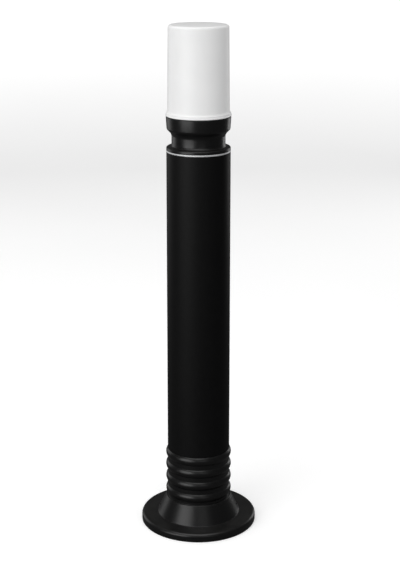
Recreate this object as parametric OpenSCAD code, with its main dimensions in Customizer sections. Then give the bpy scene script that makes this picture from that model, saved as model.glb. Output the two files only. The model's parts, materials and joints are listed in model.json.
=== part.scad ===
// Garden bollard light: ribbed cast base, round post tube, spool-shaped collar and an opal diffuser.
// Origin at the centre of the base's underside, +Z up, millimetres.

/* [Overall] */
// Height of the whole light above the ground
overall_h = 615; // [540:5:900]
// Outside diameter of the post tube
tube_d = 76; // [76:1:100]
// Wall of the post tube
tube_wall = 2.5; // [1.5:0.1:3]

/* [Base casting] */
// Diameter of the round foot flange
flange_d = 141; // [136:1:200]
// Height of the flange rim
flange_h = 10; // [8:0.5:13]
// Radius rolled over the flange's top edge
flange_round = 4; // [1:0.5:5]
// Width of the step between the rim and the cone
flange_ledge = 20; // [16:1:24]
// Height of the cone's top edge above the ground
cone_top_z = 32.5; // [30:0.5:45]
// How far the cone's top edge stands out from the neck
cone_step = 2; // [1:0.25:4]
// Wall of the casting
cast_wall = 3.6; // [2.5:0.1:4.5]
// Number of raised beads round the neck
bead_count = 4; // [3:1:6]
// Distance between two beads
bead_pitch = 16; // [12:0.5:22]
// How far a bead stands out from the neck
bead_proud = 2.2; // [1:0.1:4]
// Half the height of a bead where it meets the neck
bead_half = 5.2; // [3:0.1:5.6]
// Thickness of the bulkhead above the wiring chamber
bulkhead_t = 5; // [3:0.5:8]
// Length of the base's spigot inside the tube
base_spigot_h = 30; // [20:1:50]

/* [Collar and trim ring] */
// Height of the polished trim ring
ring_h = 2; // [1:0.5:4]
// How far the trim ring stands out from the tube
ring_proud = 0.15; // [0:0.05:1]
// Height of the collar above the trim ring
collar_h = 40; // [36:1:60]
// Height of the collar's lower lip
lip_h = 4; // [3:0.5:6]
// Depth of the collar's waist below the tube's surface
waist_depth = 6.2; // [4:0.2:6.4]
// How far the collar's top edge stands out from the tube
rim_proud = 0.5; // [0:0.1:1.5]
// Wall of the collar round its waist
waist_wall = 3.2; // [2.5:0.1:4]
// Thickness of the collar's deck
deck_t = 5; // [4:0.5:7]
// Length of the collar's spigot inside the tube
collar_spigot_h = 22; // [18:1:40]

/* [Diffuser] */
// Height of the diffuser with its lip
diffuser_h = 106; // [96:1:160]
// Wall of the diffuser
diffuser_wall = 2.4; // [1.5:0.1:3]
// How far the diffuser narrows from lip to top, on radius
diffuser_taper = 0.9; // [0:0.1:3]
// Radius of the diffuser's top edge
diffuser_round = 3; // [1:0.5:6]
// Thickness of the seal under the diffuser's lip
seal_t = 0.8; // [0.5:0.1:2]
// Angle that the diffuser turns to lock
lock_turn = 35; // [20:1:45]
// Angle that one locking lug covers
lug_angle = 24; // [16:1:30]

/* [Lamp] */
// Diameter of the lamp's globe
globe_d = 45; // [38:1:50]
// Length of the lamp from its contact to its top
lamp_len = 77; // [70:1:90]
// Outside diameter of the lampholder
holder_d = 40; // [36:1:41]
// Height of the lampholder
holder_h = 36; // [35:1:42]

/* [Fasteners and wiring] */
// Diameter of the three tie rods
rod_d = 5; // [4:0.5:6]
// Diameter of the sheathed lead inside the post
lead_d = 6.5; // [5:0.1:7]
// Diameter of the circle of the ground plate's anchor holes
anchor_pcd = 60; // [58:1:66]
// Diameter of an anchor hole
anchor_hole_d = 7; // [5:0.5:8]
// Diameter of the cable entry in the ground plate
cable_hole_d = 20; // [12:1:24]
// Thickness of the ground plate
plate_t = 4; // [3:0.5:6]

/* [Hidden] */
$fn = 96;

// Clearances
slip_gap = 0.15;   // castings and seals inside the tube, on radius
screw_gap = 0.05;  // a screw in its own thread, on radius
pass_gap = 0.3;    // a screw through a plain hole, and pieces that move past each other
eps = 0.01;

// Colours
coat_black = [0.05, 0.05, 0.055];
zinc = [0.72, 0.73, 0.75];
bright = [0.86, 0.87, 0.88];
brass = [0.80, 0.64, 0.32];
rubber = [0.10, 0.10, 0.10];
opal = [0.95, 0.95, 0.95];
ivory = [0.93, 0.91, 0.86];

// Post and base
tube_r = tube_d / 2;
bore_r = tube_r - tube_wall;
spigot_r = bore_r - slip_gap;
spigot_wall = 3;
flange_r = flange_d / 2;
flange_crown = 0.4;                      // rise of the flange's top from rim to cone
cone_foot_z = flange_h + flange_crown;
cone_foot_r = flange_r - flange_ledge;
cone_top_r = tube_r + cone_step;
cone_edge = 0.6;
bead_arc_r = (bead_half * bead_half + bead_proud * bead_proud) / (2 * bead_proud);
neck_gap = 3.3;                          // plain neck between the cone and the lowest bead
bead_z0 = cone_top_z + neck_gap + bead_half;
shoulder_z = bead_z0 + (bead_count - 1) * bead_pitch + bead_half;
bulkhead_z = shoulder_z - 1.2;
bulkhead_top = bulkhead_z + bulkhead_t;
foot_cavity_r = cone_foot_r - cast_wall;
neck_cavity_r = tube_r - cast_wall;
neck_cavity_z = cone_top_z + 2;          // where the hollow inside the cone becomes straight
rib_count = 8;
rib_w = 4;
groove_depth = 2.4;                      // depth and height of an O-ring groove
groove_h = 3.2;
groove_inset = 10;                       // from a spigot's shoulder to its O-ring groove
oring_r = 1.2;

// Collar and diffuser, from the top down
collar_top = overall_h - diffuser_h - seal_t - 0.1;
collar_z = collar_top - collar_h;
ring_z = collar_z - ring_h;
deck_top = collar_z + deck_t;
waist_r = tube_r - waist_depth;
waist_cavity_r = waist_r - waist_wall;
rim_r = tube_r + rim_proud;
mouth_wall = 2.3;
mouth_r = rim_r - mouth_wall;
lip_bottom = overall_h - diffuser_h;
skirt_r = mouth_r - pass_gap;
skirt_wall = 1.7;
skirt_in_r = skirt_r - skirt_wall;
skirt_h = 8.5;
ledge_drop = 11.2;                       // the lock ring stands this far inside the collar's mouth
ledge_z = collar_top - ledge_drop;
lock_flange_r = skirt_in_r - 0.4;
lock_web_r = lock_flange_r - 2.8;
lock_web_wall = 2.1;
lug_h = 2.5;
lug_in_r = lock_web_r + 0.5;
lug_bottom = lip_bottom - skirt_h;
lock_foot_h = 2.2;
lock_flange_z = lug_bottom + lug_h + pass_gap;
lock_flange_h = 2.3;
lug_play = 3;                            // a notch is wider than its lug by this angle each side
stop_angle = 4;
ear_r = lock_web_r - 5.5;                // circle of the lock ring's screws

// Tie rods
rod_r = rod_d / 2;
rod_circle_r = bore_r - 11.5;
rod_angles = [90, 210, 330];
washer_t = 1;
nut_h = 4;
rod_tail = 3;
boss_h = 13;
boss_bite = 3.5;                         // how far the blind thread runs up into the deck

// Lamp and holder
holder_r = holder_d / 2;
socket_depth = 30;                       // from the holder's mouth to the floor of its cavity
holder_rise = 10.8;                      // the lampholder stands this far above the collar
holder_top = collar_top + holder_rise;
holder_z = holder_top - holder_h;
holder_floor = holder_h - socket_depth;
cavity_z = holder_top - socket_depth;
shell_out_r = 14.5;
shell_wall = 0.5;
shell_thread = 0.4;
cap_r = 13.2;
cap_thread = 0.7;
thread_pitch = 3.6;
tip_z = cavity_z + 2.6;                  // underside of the lamp's contact
plunger_r = 4;
plunger_top = tip_z - pass_gap;
plunger_h = 3;
well_z = cavity_z - 4;                   // floor of the plunger's well
globe_r = globe_d / 2;
globe_z = tip_z + lamp_len - globe_r;
globe_cut_z = globe_z - 0.5 * globe_r;
globe_cut_r = sqrt(globe_r * globe_r - pow(globe_z - globe_cut_z, 2));
globe_wall = 1;
cap_bottom = tip_z + 4.4;
cap_h = 23.6;
cap_top = cap_bottom + cap_h;

// Holder bracket
strap_w = 22;
strap_t = 2;
strap_reach = waist_cavity_r - 3.6;
strap_screw_x = 18.8;
strap_access_r = 3.7;                    // holes through which the deck screws are reached
holder_screw_x = 12.5;
core_hole_r = 8.8;
core_entry = [3.2, 6.4];                 // where a core goes up into the lampholder
earth_y = -22;

// Wiring chamber
plate_r = foot_cavity_r - 0.7;
tab_t = 3;
tab_w = 14;
tab_h = 18;
tab_gap = 2.08;                          // between a tab's top corner and the cone's inside
tab_rise = (plate_t + tab_h - cone_foot_z) / (neck_cavity_z - cone_foot_z);
tab_x = foot_cavity_r - tab_rise * (foot_cavity_r - neck_cavity_r) - tab_gap;
set_screw_z = 16;
set_screw_r = 2.5;
boss_gap = 1.4;                          // between a tab and the boss in front of it
cable_hole_y = -9;
upright_y = 4;
upright_t = 2;
upright_w = 30;
upright_top = 76;
foot_screw_x = 9;
foot_screw_y = 14;
foot_screw_r = 2;
bracket_foot = 16;                       // depth of the bracket's foot
ear_screw_r = 1.5;
block_w = 34;
block_d = 17;
block_h = 20;
block_z = 48;
pole_x = 11;
pole_count = 3;
block_screw_x = pole_x / 2;
wire_hole_r = 1.9;
wire_hole_y = upright_y - block_d / 2;
clamp_z = 27;
clamp_h = 8;
clamp_screw_x = 10.5;

// Gland and lead
gland_r = 8;
gland_hex_r = 12;
gland_collar_h = 5;
lead_r = lead_d / 2;
gland_bore_r = lead_r + 0.2;
lead_bottom = 81;
lead_top = deck_top + 2.8;
lead_sides = 10;
lead_rings = 44;
lead_sway = 4;
straight_bottom = bulkhead_top + 24;     // the lead is straight through the gland
straight_top = collar_z - 16;            // and through the deck
core_r = 1.1;
core_sides = 8;
core_rings = 14;
core_spread = 1.5;
core_gap = 0.2;

// ---------- helpers ----------

function unit(v) = v / norm(v);
function bezier(p, t) =
    pow(1 - t, 3) * p[0] + 3 * pow(1 - t, 2) * t * p[1] + 3 * (1 - t) * t * t * p[2] + pow(t, 3) * p[3];
function tangent(route, i) =
    unit(route[min(i + 1, len(route) - 1)] - route[max(i - 1, 0)]);
function ring_at(route, i, r, sides) =
    let (t = tangent(route, i), u = unit(cross([0.2, 1, 0.1], t)), v = cross(t, u))
    [for (k = [0:sides - 1]) route[i] + r * (cos(360 * k / sides) * u + sin(360 * k / sides) * v)];

// A round strand swept along a list of points
module strand(route, r, sides) {
    n = len(route);
    points = [for (i = [0:n - 1]) each ring_at(route, i, r, sides)];
    walls = [
        for (i = [0:n - 2]) for (k = [0:sides - 1])
            [i * sides + k, (i + 1) * sides + k, (i + 1) * sides + (k + 1) % sides, i * sides + (k + 1) % sides]
    ];
    start = [for (k = [0:sides - 1]) k];
    finish = [for (k = [sides - 1:-1:0]) (n - 1) * sides + k];
    polyhedron(points, concat(walls, [start], [finish]));
}

// A short insulated core between two ends, each with its own direction
module core(p) {
    strand([for (i = [0:core_rings]) bezier(p, i / core_rings)], core_r, core_sides);
}

module hex(r, h) {
    cylinder(r = r, h = h, $fn = 6);
}

// A pan-head screw that points down from z = 0, with a hexagon socket
module screw(r, length, head_r, head_h) {
    difference() {
        union() {
            translate([0, 0, -length]) cylinder(r = r, h = length + eps);
            cylinder(r = head_r, h = head_h);
        }
        translate([0, 0, head_h * 0.4]) hex(head_r * 0.5, head_h);
    }
}

// A screw whose head faces -Y, with its seat at y = 0
module wall_screw(r, length, head_r, head_h) {
    rotate([90, 0, 0]) screw(r, length, head_r, head_h);
}

module seal_section(r) {
    translate([r - oring_r - screw_gap, 0]) circle(r = oring_r, $fn = 32);
}

// Part of a ring between two radii, from one angle to another
module sector(r_in, r_out, a0, a1, h) {
    rotate([0, 0, a0])
        rotate_extrude(angle = a1 - a0)
            translate([r_in, 0]) square([r_out - r_in, h]);
}

// ---------- ground plate and wiring ----------

module ground_plate() {
    color(zinc) difference() {
        union() {
            cylinder(r = plate_r, h = plate_t);
            for (side = [0, 180]) rotate([0, 0, side])
                translate([tab_x - tab_t, -tab_w / 2, 0]) cube([tab_t, tab_w, plate_t + tab_h]);
        }
        for (a = rod_angles) rotate([0, 0, a])
            translate([anchor_pcd / 2, 0, -1]) cylinder(d = anchor_hole_d, h = plate_t + 2);
        translate([0, cable_hole_y, -1]) cylinder(d = cable_hole_d, h = plate_t + 2);
        for (s = [-1, 1])
            translate([s * foot_screw_x, foot_screw_y, -1]) cylinder(r = foot_screw_r + screw_gap, h = plate_t + 2);
    }
}

module wiring_bracket() {
    color(zinc) difference() {
        union() {
            translate([-upright_w / 2, upright_y, plate_t])
                cube([upright_w, upright_t, upright_top - plate_t]);
            translate([-upright_w / 2, upright_y, plate_t]) cube([upright_w, bracket_foot, upright_t]);
        }
        for (s = [-1, 1]) {
            translate([s * foot_screw_x, foot_screw_y, 0])
                cylinder(r = foot_screw_r + pass_gap, h = plate_t + 2 * upright_t);
            translate([s * block_screw_x, upright_y - 1, block_z + block_h / 2])
                rotate([-90, 0, 0]) cylinder(r = 1.5 + screw_gap, h = upright_t + 2);
            translate([s * clamp_screw_x, upright_y - 1, clamp_z + clamp_h / 2])
                rotate([-90, 0, 0]) cylinder(r = 1.5 + screw_gap, h = upright_t + 2);
        }
    }
}

module bracket_screws() {
    color(zinc) for (s = [-1, 1])
        translate([s * foot_screw_x, foot_screw_y, plate_t + upright_t]) screw(foot_screw_r, 5, 3.8, 2.4);
}

module terminal_block() {
    color(ivory) difference() {
        translate([-block_w / 2, upright_y - block_d, block_z]) cube([block_w, block_d, block_h]);
        for (i = [0:pole_count - 1]) {
            x = (i - 1) * pole_x;
            translate([x, wire_hole_y, block_z - 1]) cylinder(r = wire_hole_r, h = block_h + 2, $fn = 32);
            for (z = [5, block_h - 5])
                translate([x, upright_y - block_d - 1, block_z + z])
                    rotate([-90, 0, 0]) cylinder(r = 2.6, h = block_d / 2 + 1, $fn = 32);
        }
        for (s = [-1, 1])
            translate([s * block_screw_x, upright_y - block_d - 1, block_z + block_h / 2])
                rotate([-90, 0, 0]) {
                    cylinder(r = 1.5 + pass_gap, h = block_d + 2, $fn = 32);
                    cylinder(r = 2.9, h = 7, $fn = 32);
                }
    }
}

module terminal_screws() {
    depth = block_d / 2 - wire_hole_r - core_r;
    color(brass) for (i = [0:pole_count - 1]) for (z = [5, block_h - 5])
        translate([(i - 1) * pole_x, upright_y - block_d + 1.5, block_z + z]) rotate([-90, 0, 0])
            difference() {
                cylinder(r = 2.5, h = depth, $fn = 32);
                translate([-3, -0.4, -1]) cube([6, 0.8, 2]);
            }
}

module block_screws() {
    color(zinc) for (s = [-1, 1])
        translate([s * block_screw_x, upright_y - block_d + 6, block_z + block_h / 2])
            wall_screw(1.5, block_d - 6 + upright_t, 2.6, 2);
}

module cable_clamp() {
    color(ivory) difference() {
        translate([-upright_w / 2, upright_y - 7, clamp_z]) cube([upright_w, 7, clamp_h]);
        translate([0, upright_y, clamp_z - 1]) cylinder(r = 5.2, h = clamp_h + 2);
        for (s = [-1, 1])
            translate([s * clamp_screw_x, upright_y - 8, clamp_z + clamp_h / 2])
                rotate([-90, 0, 0]) cylinder(r = 1.5 + pass_gap, h = 9, $fn = 32);
    }
}

module clamp_screws() {
    color(zinc) for (s = [-1, 1])
        translate([s * clamp_screw_x, upright_y - 7, clamp_z + clamp_h / 2])
            wall_screw(1.5, 7 + upright_t, 2.8, 2);
}

// ---------- base ----------

module base_outline() {
    polygon([
        [0, 0], [flange_r - cone_edge, 0], [flange_r, cone_edge], [flange_r, flange_h - flange_round],
        [flange_r - flange_round, flange_h], [cone_foot_r, cone_foot_z], [0, cone_foot_z]
    ]);
    translate([flange_r - flange_round, flange_h - flange_round]) circle(r = flange_round);
    polygon([
        [0, flange_h], [cone_foot_r, flange_h], [cone_foot_r, cone_foot_z],
        [cone_top_r, cone_top_z - cone_edge], [cone_top_r - cone_edge, cone_top_z], [0, cone_top_z]
    ]);
    square([tube_r, shoulder_z]);
    intersection() {
        square([tube_r + bead_proud, shoulder_z]);
        for (i = [0:bead_count - 1])
            translate([tube_r + bead_proud - bead_arc_r, bead_z0 + i * bead_pitch]) circle(r = bead_arc_r);
    }
    square([spigot_r, shoulder_z + base_spigot_h]);
}

module base_cavity() {
    translate([0, -1]) square([foot_cavity_r, cone_foot_z + 1]);
    polygon([
        [0, cone_foot_z - eps], [foot_cavity_r, cone_foot_z - eps],
        [neck_cavity_r, neck_cavity_z], [0, neck_cavity_z]
    ]);
    translate([0, cone_top_z]) square([neck_cavity_r, bulkhead_z - cone_top_z]);
    translate([0, bulkhead_top]) square([spigot_r - spigot_wall, base_spigot_h + bulkhead_t]);
    translate([spigot_r - groove_depth, shoulder_z + groove_inset]) square([groove_depth + 1, groove_h]);
}

module base_casting() {
    groove_in = cone_foot_r + 0.5;
    groove_out = flange_r - 4.5;
    color(coat_black) difference() {
        union() {
            rotate_extrude() difference() {
                base_outline();
                base_cavity();
            }
            intersection() {
                for (side = [0, 180]) rotate([0, 0, side])
                    translate([tab_x + boss_gap, 0, set_screw_z]) rotate([0, 90, 0])
                        cylinder(r = set_screw_r * 2, h = foot_cavity_r - tab_x - boss_gap);
                rotate_extrude() base_outline();
            }
        }
        difference() {
            translate([0, 0, -1]) cylinder(r = groove_out, h = flange_h - 4 + 1);
            translate([0, 0, -2]) cylinder(r = groove_in, h = flange_h);
            for (i = [0:rib_count - 1]) rotate([0, 0, 360 * (i + 0.5) / rib_count])
                translate([groove_in - 1, -rib_w / 2, -2]) cube([groove_out - groove_in + 2, rib_w, flange_h]);
        }
        for (side = [0, 180]) rotate([0, 0, side])
            translate([tab_x, 0, set_screw_z]) rotate([0, 90, 0])
                cylinder(r = set_screw_r + screw_gap, h = flange_r - tab_x);
        translate([0, 0, bulkhead_z - 1]) cylinder(r = gland_r + pass_gap, h = bulkhead_t + 2);
        for (a = rod_angles) rotate([0, 0, a])
            translate([rod_circle_r, 0, bulkhead_z - 1]) cylinder(r = rod_r + pass_gap, h = bulkhead_t + 2);
    }
}

module plate_set_screws() {
    length = 8;
    color(zinc) for (side = [0, 180]) rotate([0, 0, side])
        translate([tab_x + screw_gap, 0, set_screw_z]) rotate([0, 90, 0])
            difference() {
                cylinder(r = set_screw_r, h = length);
                translate([0, 0, length - 2.5]) hex(1.4, 3);
            }
}

// ---------- cable gland ----------

module gland_body() {
    color(rubber) difference() {
        union() {
            translate([0, 0, bulkhead_z - 8]) cylinder(r = gland_r, h = 8 + bulkhead_t + eps);
            translate([0, 0, bulkhead_top]) hex(gland_hex_r, gland_collar_h);
            translate([0, 0, bulkhead_top + gland_collar_h - eps]) cylinder(r = gland_r, h = 6);
        }
        translate([0, 0, bulkhead_z - 9]) cylinder(r = gland_bore_r, h = bulkhead_t + 30);
        translate([0, 0, bulkhead_top + 3]) cylinder(r = gland_r - 1.6, h = 12);
    }
}

module gland_locknut() {
    color(rubber) translate([0, 0, bulkhead_z - 4]) difference() {
        hex(gland_hex_r, 4);
        translate([0, 0, -1]) cylinder(r = gland_r + screw_gap, h = 6);
    }
}

module gland_seal() {
    color(rubber) translate([0, 0, bulkhead_top + 3.1]) difference() {
        cylinder(r = gland_r - 1.7, h = 8.6);
        translate([0, 0, -1]) cylinder(r = gland_bore_r, h = 11);
    }
}

module gland_nut() {
    color(rubber) translate([0, 0, bulkhead_top + gland_collar_h + 0.4]) difference() {
        union() {
            hex(gland_hex_r, 7);
            translate([0, 0, 7 - eps]) cylinder(r1 = gland_hex_r - 2.2, r2 = gland_r - 1, h = 3);
        }
        translate([0, 0, -1]) cylinder(r = gland_r + screw_gap, h = 7.5);
        translate([0, 0, 5]) cylinder(r = gland_bore_r + 0.1, h = 6);
    }
}

// ---------- tie rods ----------

module at_rods() {
    for (a = rod_angles) rotate([0, 0, a]) translate([rod_circle_r, 0, 0]) children();
}

module tie_rods() {
    bottom = bulkhead_z - washer_t - nut_h - rod_tail;
    top = collar_z + boss_bite - 0.5;
    color(zinc) at_rods() translate([0, 0, bottom]) cylinder(r = rod_r, h = top - bottom, $fn = 32);
}

module rod_washers() {
    color(zinc) at_rods() translate([0, 0, bulkhead_z - washer_t]) difference() {
        cylinder(r = rod_r * 2, h = washer_t, $fn = 48);
        translate([0, 0, -1]) cylinder(r = rod_r + pass_gap / 2, h = washer_t + 2, $fn = 48);
    }
}

module rod_nuts() {
    color(zinc) at_rods() translate([0, 0, bulkhead_z - washer_t - nut_h]) difference() {
        hex(rod_r * 1.85, nut_h);
        translate([0, 0, -1]) cylinder(r = rod_r + screw_gap, h = nut_h + 2, $fn = 32);
    }
}

// ---------- post ----------

module lower_tube_seal() {
    color(rubber) translate([0, 0, shoulder_z + groove_inset + groove_h / 2])
        rotate_extrude() seal_section(bore_r);
}

module upper_tube_seal() {
    color(rubber) translate([0, 0, ring_z - groove_inset + groove_h / 2])
        rotate_extrude() seal_section(bore_r);
}

module tube() {
    edge = 0.5;
    color(coat_black) rotate_extrude() polygon([
        [bore_r, shoulder_z], [tube_r - edge, shoulder_z], [tube_r, shoulder_z + edge],
        [tube_r, ring_z - edge], [tube_r - edge, ring_z], [bore_r, ring_z]
    ]);
}

module trim_ring() {
    color(bright) translate([0, 0, ring_z]) rotate_extrude() {
        translate([bore_r, 0]) square([tube_wall + ring_proud - ring_h / 2, ring_h]);
        translate([tube_r + ring_proud - ring_h / 2, ring_h / 2]) circle(r = ring_h / 2, $fn = 32);
    }
}

// ---------- collar ----------

module collar_outline() {
    edge = 0.5;
    fillet_r = 4;                        // concave corner above the lip
    sweep_r = 8;                         // concave sweep out of the waist
    round_r = 4;                         // convex corner under the band
    slope = sin(45);
    sweep_z = collar_h - 24;
    sweep_end = [waist_r + sweep_r * (1 - slope), sweep_z + sweep_r * slope];
    round_c = [rim_r - 0.93 - round_r, collar_h - 13.3];
    round_start = round_c + round_r * [slope, -slope];
    polygon([
        [0, 0], [tube_r - edge, 0], [tube_r, edge], [tube_r, lip_h - edge],
        [tube_r - edge, lip_h], [0, lip_h]
    ]);
    square([waist_r, collar_h]);
    difference() {
        translate([0, lip_h - eps]) square([waist_r + fillet_r, fillet_r]);
        translate([waist_r + fillet_r, lip_h + fillet_r]) circle(r = fillet_r);
    }
    difference() {
        translate([0, sweep_z]) square([sweep_end.x, sweep_end.y - sweep_z]);
        translate([waist_r + sweep_r, sweep_z]) circle(r = sweep_r);
    }
    polygon([[0, sweep_end.y - eps], sweep_end, round_start, round_c, [0, round_c.y]]);
    translate(round_c) circle(r = round_r);
    polygon([
        [0, round_c.y - eps], [round_c.x + round_r, round_c.y], [rim_r, collar_h - edge],
        [rim_r - edge, collar_h], [0, collar_h]
    ]);
    translate([0, -collar_spigot_h]) square([spigot_r, collar_spigot_h + eps]);
}

module collar_cavity() {
    corner = 2;
    ledge = ledge_z - collar_z;
    translate([0, -collar_spigot_h - 1]) square([spigot_r - spigot_wall, collar_spigot_h + 1]);
    translate([spigot_r - groove_depth, -ring_h - groove_inset]) square([groove_depth + 1, groove_h]);
    translate([0, deck_t]) square([waist_cavity_r, collar_h]);
    polygon([
        [0, ledge], [mouth_r - corner, ledge], [mouth_r, ledge + corner],
        [mouth_r, collar_h + 1], [0, collar_h + 1]
    ]);
}

module at_ears() {
    for (a = [30, 150, 270]) rotate([0, 0, a]) translate([ear_r, 0, 0]) children();
}

module collar() {
    ear_boss_r = 4.2;
    ear_boss_h = 14;
    color(coat_black) difference() {
        union() {
            translate([0, 0, collar_z]) rotate_extrude() difference() {
                collar_outline();
                collar_cavity();
            }
            intersection() {
                at_ears() translate([0, 0, ledge_z - ear_boss_h]) {
                    cylinder(r = ear_boss_r, h = ear_boss_h);
                    translate([0, -ear_boss_r, 0]) cube([ear_boss_r + 4, 2 * ear_boss_r, ear_boss_h]);
                }
                cylinder(r = waist_cavity_r + 1, h = overall_h);
            }
            at_rods() translate([0, 0, collar_z - boss_h]) cylinder(r = rod_r + 3, h = boss_h + eps);
        }
        at_rods() translate([0, 0, collar_z - boss_h - 1])
            cylinder(r = rod_r + screw_gap, h = boss_h + 1 + boss_bite, $fn = 32);
        translate([0, 0, collar_z - 1]) cylinder(r = lead_r + 3.2, h = deck_t + 2);
        at_ears() translate([0, 0, ledge_z - 11]) cylinder(r = ear_screw_r + screw_gap, h = 12, $fn = 32);
        for (s = [-1, 1]) translate([s * strap_screw_x, 0, collar_z - 1])
            cylinder(r = 2 + screw_gap, h = deck_t + 2, $fn = 32);
        translate([0, earth_y, collar_z - 1]) cylinder(r = 2 + screw_gap, h = deck_t + 2, $fn = 32);
    }
}

module lead_grommet() {
    hole_r = lead_r + 3.2;
    color(rubber) translate([0, 0, collar_z]) difference() {
        union() {
            translate([0, 0, -2 - screw_gap]) cylinder(r = hole_r + 2.4, h = 2);
            translate([0, 0, -2]) cylinder(r = hole_r - screw_gap, h = deck_t + 4);
            translate([0, 0, deck_t + screw_gap]) cylinder(r = hole_r + 2.4, h = 2);
        }
        translate([0, 0, -3]) cylinder(r = lead_r + screw_gap, h = deck_t + 6);
    }
}

// ---------- lead ----------

function lead_point(t) =
    let (
        z = lead_bottom + t * (lead_top - lead_bottom),
        free = max(0, min(1, (z - straight_bottom) / (straight_top - straight_bottom))),
        swell = sin(180 * free)
    )
    [lead_sway * swell * sin(540 * free), lead_sway * swell * cos(360 * free), z];

module inner_lead() {
    color(rubber) strand([for (i = [0:lead_rings]) lead_point(i / lead_rings)], lead_r, lead_sides);
}

// Both ends of one core: down into the terminal block, and up along its own route
module core_pair(start, pole, top_route) {
    low = [start.x, start.y, lead_bottom - core_gap];
    entry = [pole * pole_x, wire_hole_y, block_z + block_h];
    core([low, low - [0, 0, 6], entry + [0, 0, 7], entry - [0, 0, 4]]);
    core(top_route);
}

// The live and neutral cores go up into the lampholder, one each side
module holder_core(side) {
    start = [side * core_spread, core_spread / 2];
    low = [start.x, start.y, lead_top + core_gap];
    high = [side * core_entry.x, core_entry.y, holder_z + 3];
    core_pair(start, side, [low, low + [0, 0, 3], high - [0, 0, 7], high]);
}

module live_core() {
    color("saddlebrown") holder_core(1);
}

module neutral_core() {
    color("royalblue") holder_core(-1);
}

module earth_core() {
    start = [0, -core_spread];
    low = [start.x, start.y, lead_top + core_gap];
    high = [0, earth_y + 6, deck_top + 2.1];
    color("yellowgreen") core_pair(start, 0, [low, low + [0, 0, 6], high + [0, 7, 0], high]);
}

// Ring terminal crimped on the earth core
module earth_lug() {
    barrel_r = 2.1;
    color(zinc) difference() {
        union() {
            translate([0, earth_y, deck_top]) cylinder(r = 4, h = 0.8);
            translate([-barrel_r, earth_y + 3, deck_top]) cube([2 * barrel_r, 5, 0.8]);
            translate([0, earth_y + 8, deck_top + 2.1]) rotate([90, 0, 0]) cylinder(r = barrel_r, h = 3.5);
        }
        translate([0, earth_y, deck_top - 1]) cylinder(r = 2 + pass_gap, h = 3);
        translate([0, earth_y + 9, deck_top + 2.1]) rotate([90, 0, 0])
            cylinder(r = core_r + pass_gap, h = 5, $fn = 32);
    }
}

module earth_screw() {
    color(brass) translate([0, earth_y, deck_top + 1.8]) {
        screw(2, 6, 3.4, 2.2);
        translate([0, 0, -1]) difference() {
            cylinder(r = 4, h = 1 + eps);
            translate([0, 0, -1]) cylinder(r = 2 - eps, h = 3);
        }
    }
}

// ---------- lampholder ----------

module holder_bracket() {
    top = holder_z;
    color(zinc) difference() {
        union() {
            translate([-strap_reach, -strap_w / 2, top - strap_t])
                cube([2 * strap_reach, strap_w, strap_t]);
            for (side = [0, 180]) rotate([0, 0, side]) {
                translate([strap_reach - strap_t, -strap_w / 2, deck_top])
                    cube([strap_t, strap_w, top - deck_top]);
                translate([strap_screw_x - 5, -strap_w / 2, deck_top])
                    cube([strap_reach - strap_screw_x + 5, strap_w, strap_t]);
            }
        }
        translate([0, 0, top - strap_t - 1]) cylinder(r = core_hole_r, h = strap_t + 2);
        for (s = [-1, 1]) {
            translate([s * strap_screw_x, 0, deck_top - 1]) cylinder(r = 2 + pass_gap, h = strap_t + 2);
            translate([s * strap_screw_x, 0, top - strap_t - 1]) cylinder(r = strap_access_r, h = strap_t + 2);
            translate([s * holder_screw_x, 0, top - strap_t - 1])
                cylinder(r = 1.5 + pass_gap, h = strap_t + 2, $fn = 32);
        }
    }
}

module holder_bracket_screws() {
    color(zinc) for (s = [-1, 1])
        translate([s * strap_screw_x, 0, deck_top + strap_t]) screw(2, deck_t + strap_t - 1, 3.5, 2.2);
}

module lampholder_body() {
    waist = 3;
    color(ivory) translate([0, 0, holder_z]) difference() {
        rotate_extrude() polygon([
            [0, 0], [holder_r - waist - 1, 0], [holder_r - waist, 1], [holder_r - waist, holder_h * 0.35],
            [holder_r, holder_h * 0.35 + waist], [holder_r, holder_h - 1.5],
            [holder_r - 1.5, holder_h], [0, holder_h]
        ]);
        translate([0, 0, holder_floor]) cylinder(r = shell_out_r + 0.1, h = holder_h);
        translate([0, 0, well_z - holder_z]) cylinder(r = plunger_r + pass_gap, h = holder_floor);
        for (s = [-1, 1]) {
            translate([s * holder_screw_x, 0, -1]) cylinder(r = 1.5 + screw_gap, h = holder_floor, $fn = 32);
            translate([s * core_entry.x, core_entry.y, -1]) cylinder(r = core_r + 0.7, h = 5, $fn = 32);
        }
    }
}

module lampholder_screws() {
    color(zinc) for (s = [-1, 1]) translate([s * holder_screw_x, 0, holder_z - strap_t])
        rotate([180, 0, 0]) screw(1.5, strap_t + holder_floor - 2, 2.6, 1.8);
}

// Rounded rings that stand for a screw thread, from z = 0 upwards
module thread_rings(r, depth, h) {
    square([r - depth, h]);
    for (z = [thread_pitch / 2 + 1:thread_pitch:h - thread_pitch / 2])
        translate([r - thread_pitch / 4, z]) circle(r = thread_pitch / 4, $fn = 32);
}

module lampholder_shell() {
    h = 25;
    color(brass) translate([0, 0, cavity_z + 0.5]) difference() {
        cylinder(r = shell_out_r, h = h);
        translate([0, 0, -1]) cylinder(r = shell_out_r - shell_wall - shell_thread, h = h + 2);
        for (z = [3:thread_pitch:h - 3]) translate([0, 0, z])
            rotate_extrude() translate([shell_out_r - shell_wall - shell_thread, 0])
                circle(r = shell_thread, $fn = 24);
    }
}

module contact_spring() {
    turns = 3;
    wire_r = 0.3;
    steps = 14;
    low = well_z + wire_r + 0.02;
    high = plunger_top - plunger_h - wire_r - 0.02;
    color(bright) strand([
        for (i = [0:turns * steps])
            let (t = i / (turns * steps))
            [3 * cos(360 * i / steps), 3 * sin(360 * i / steps), low + t * (high - low)]
    ], wire_r, 6);
}

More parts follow.
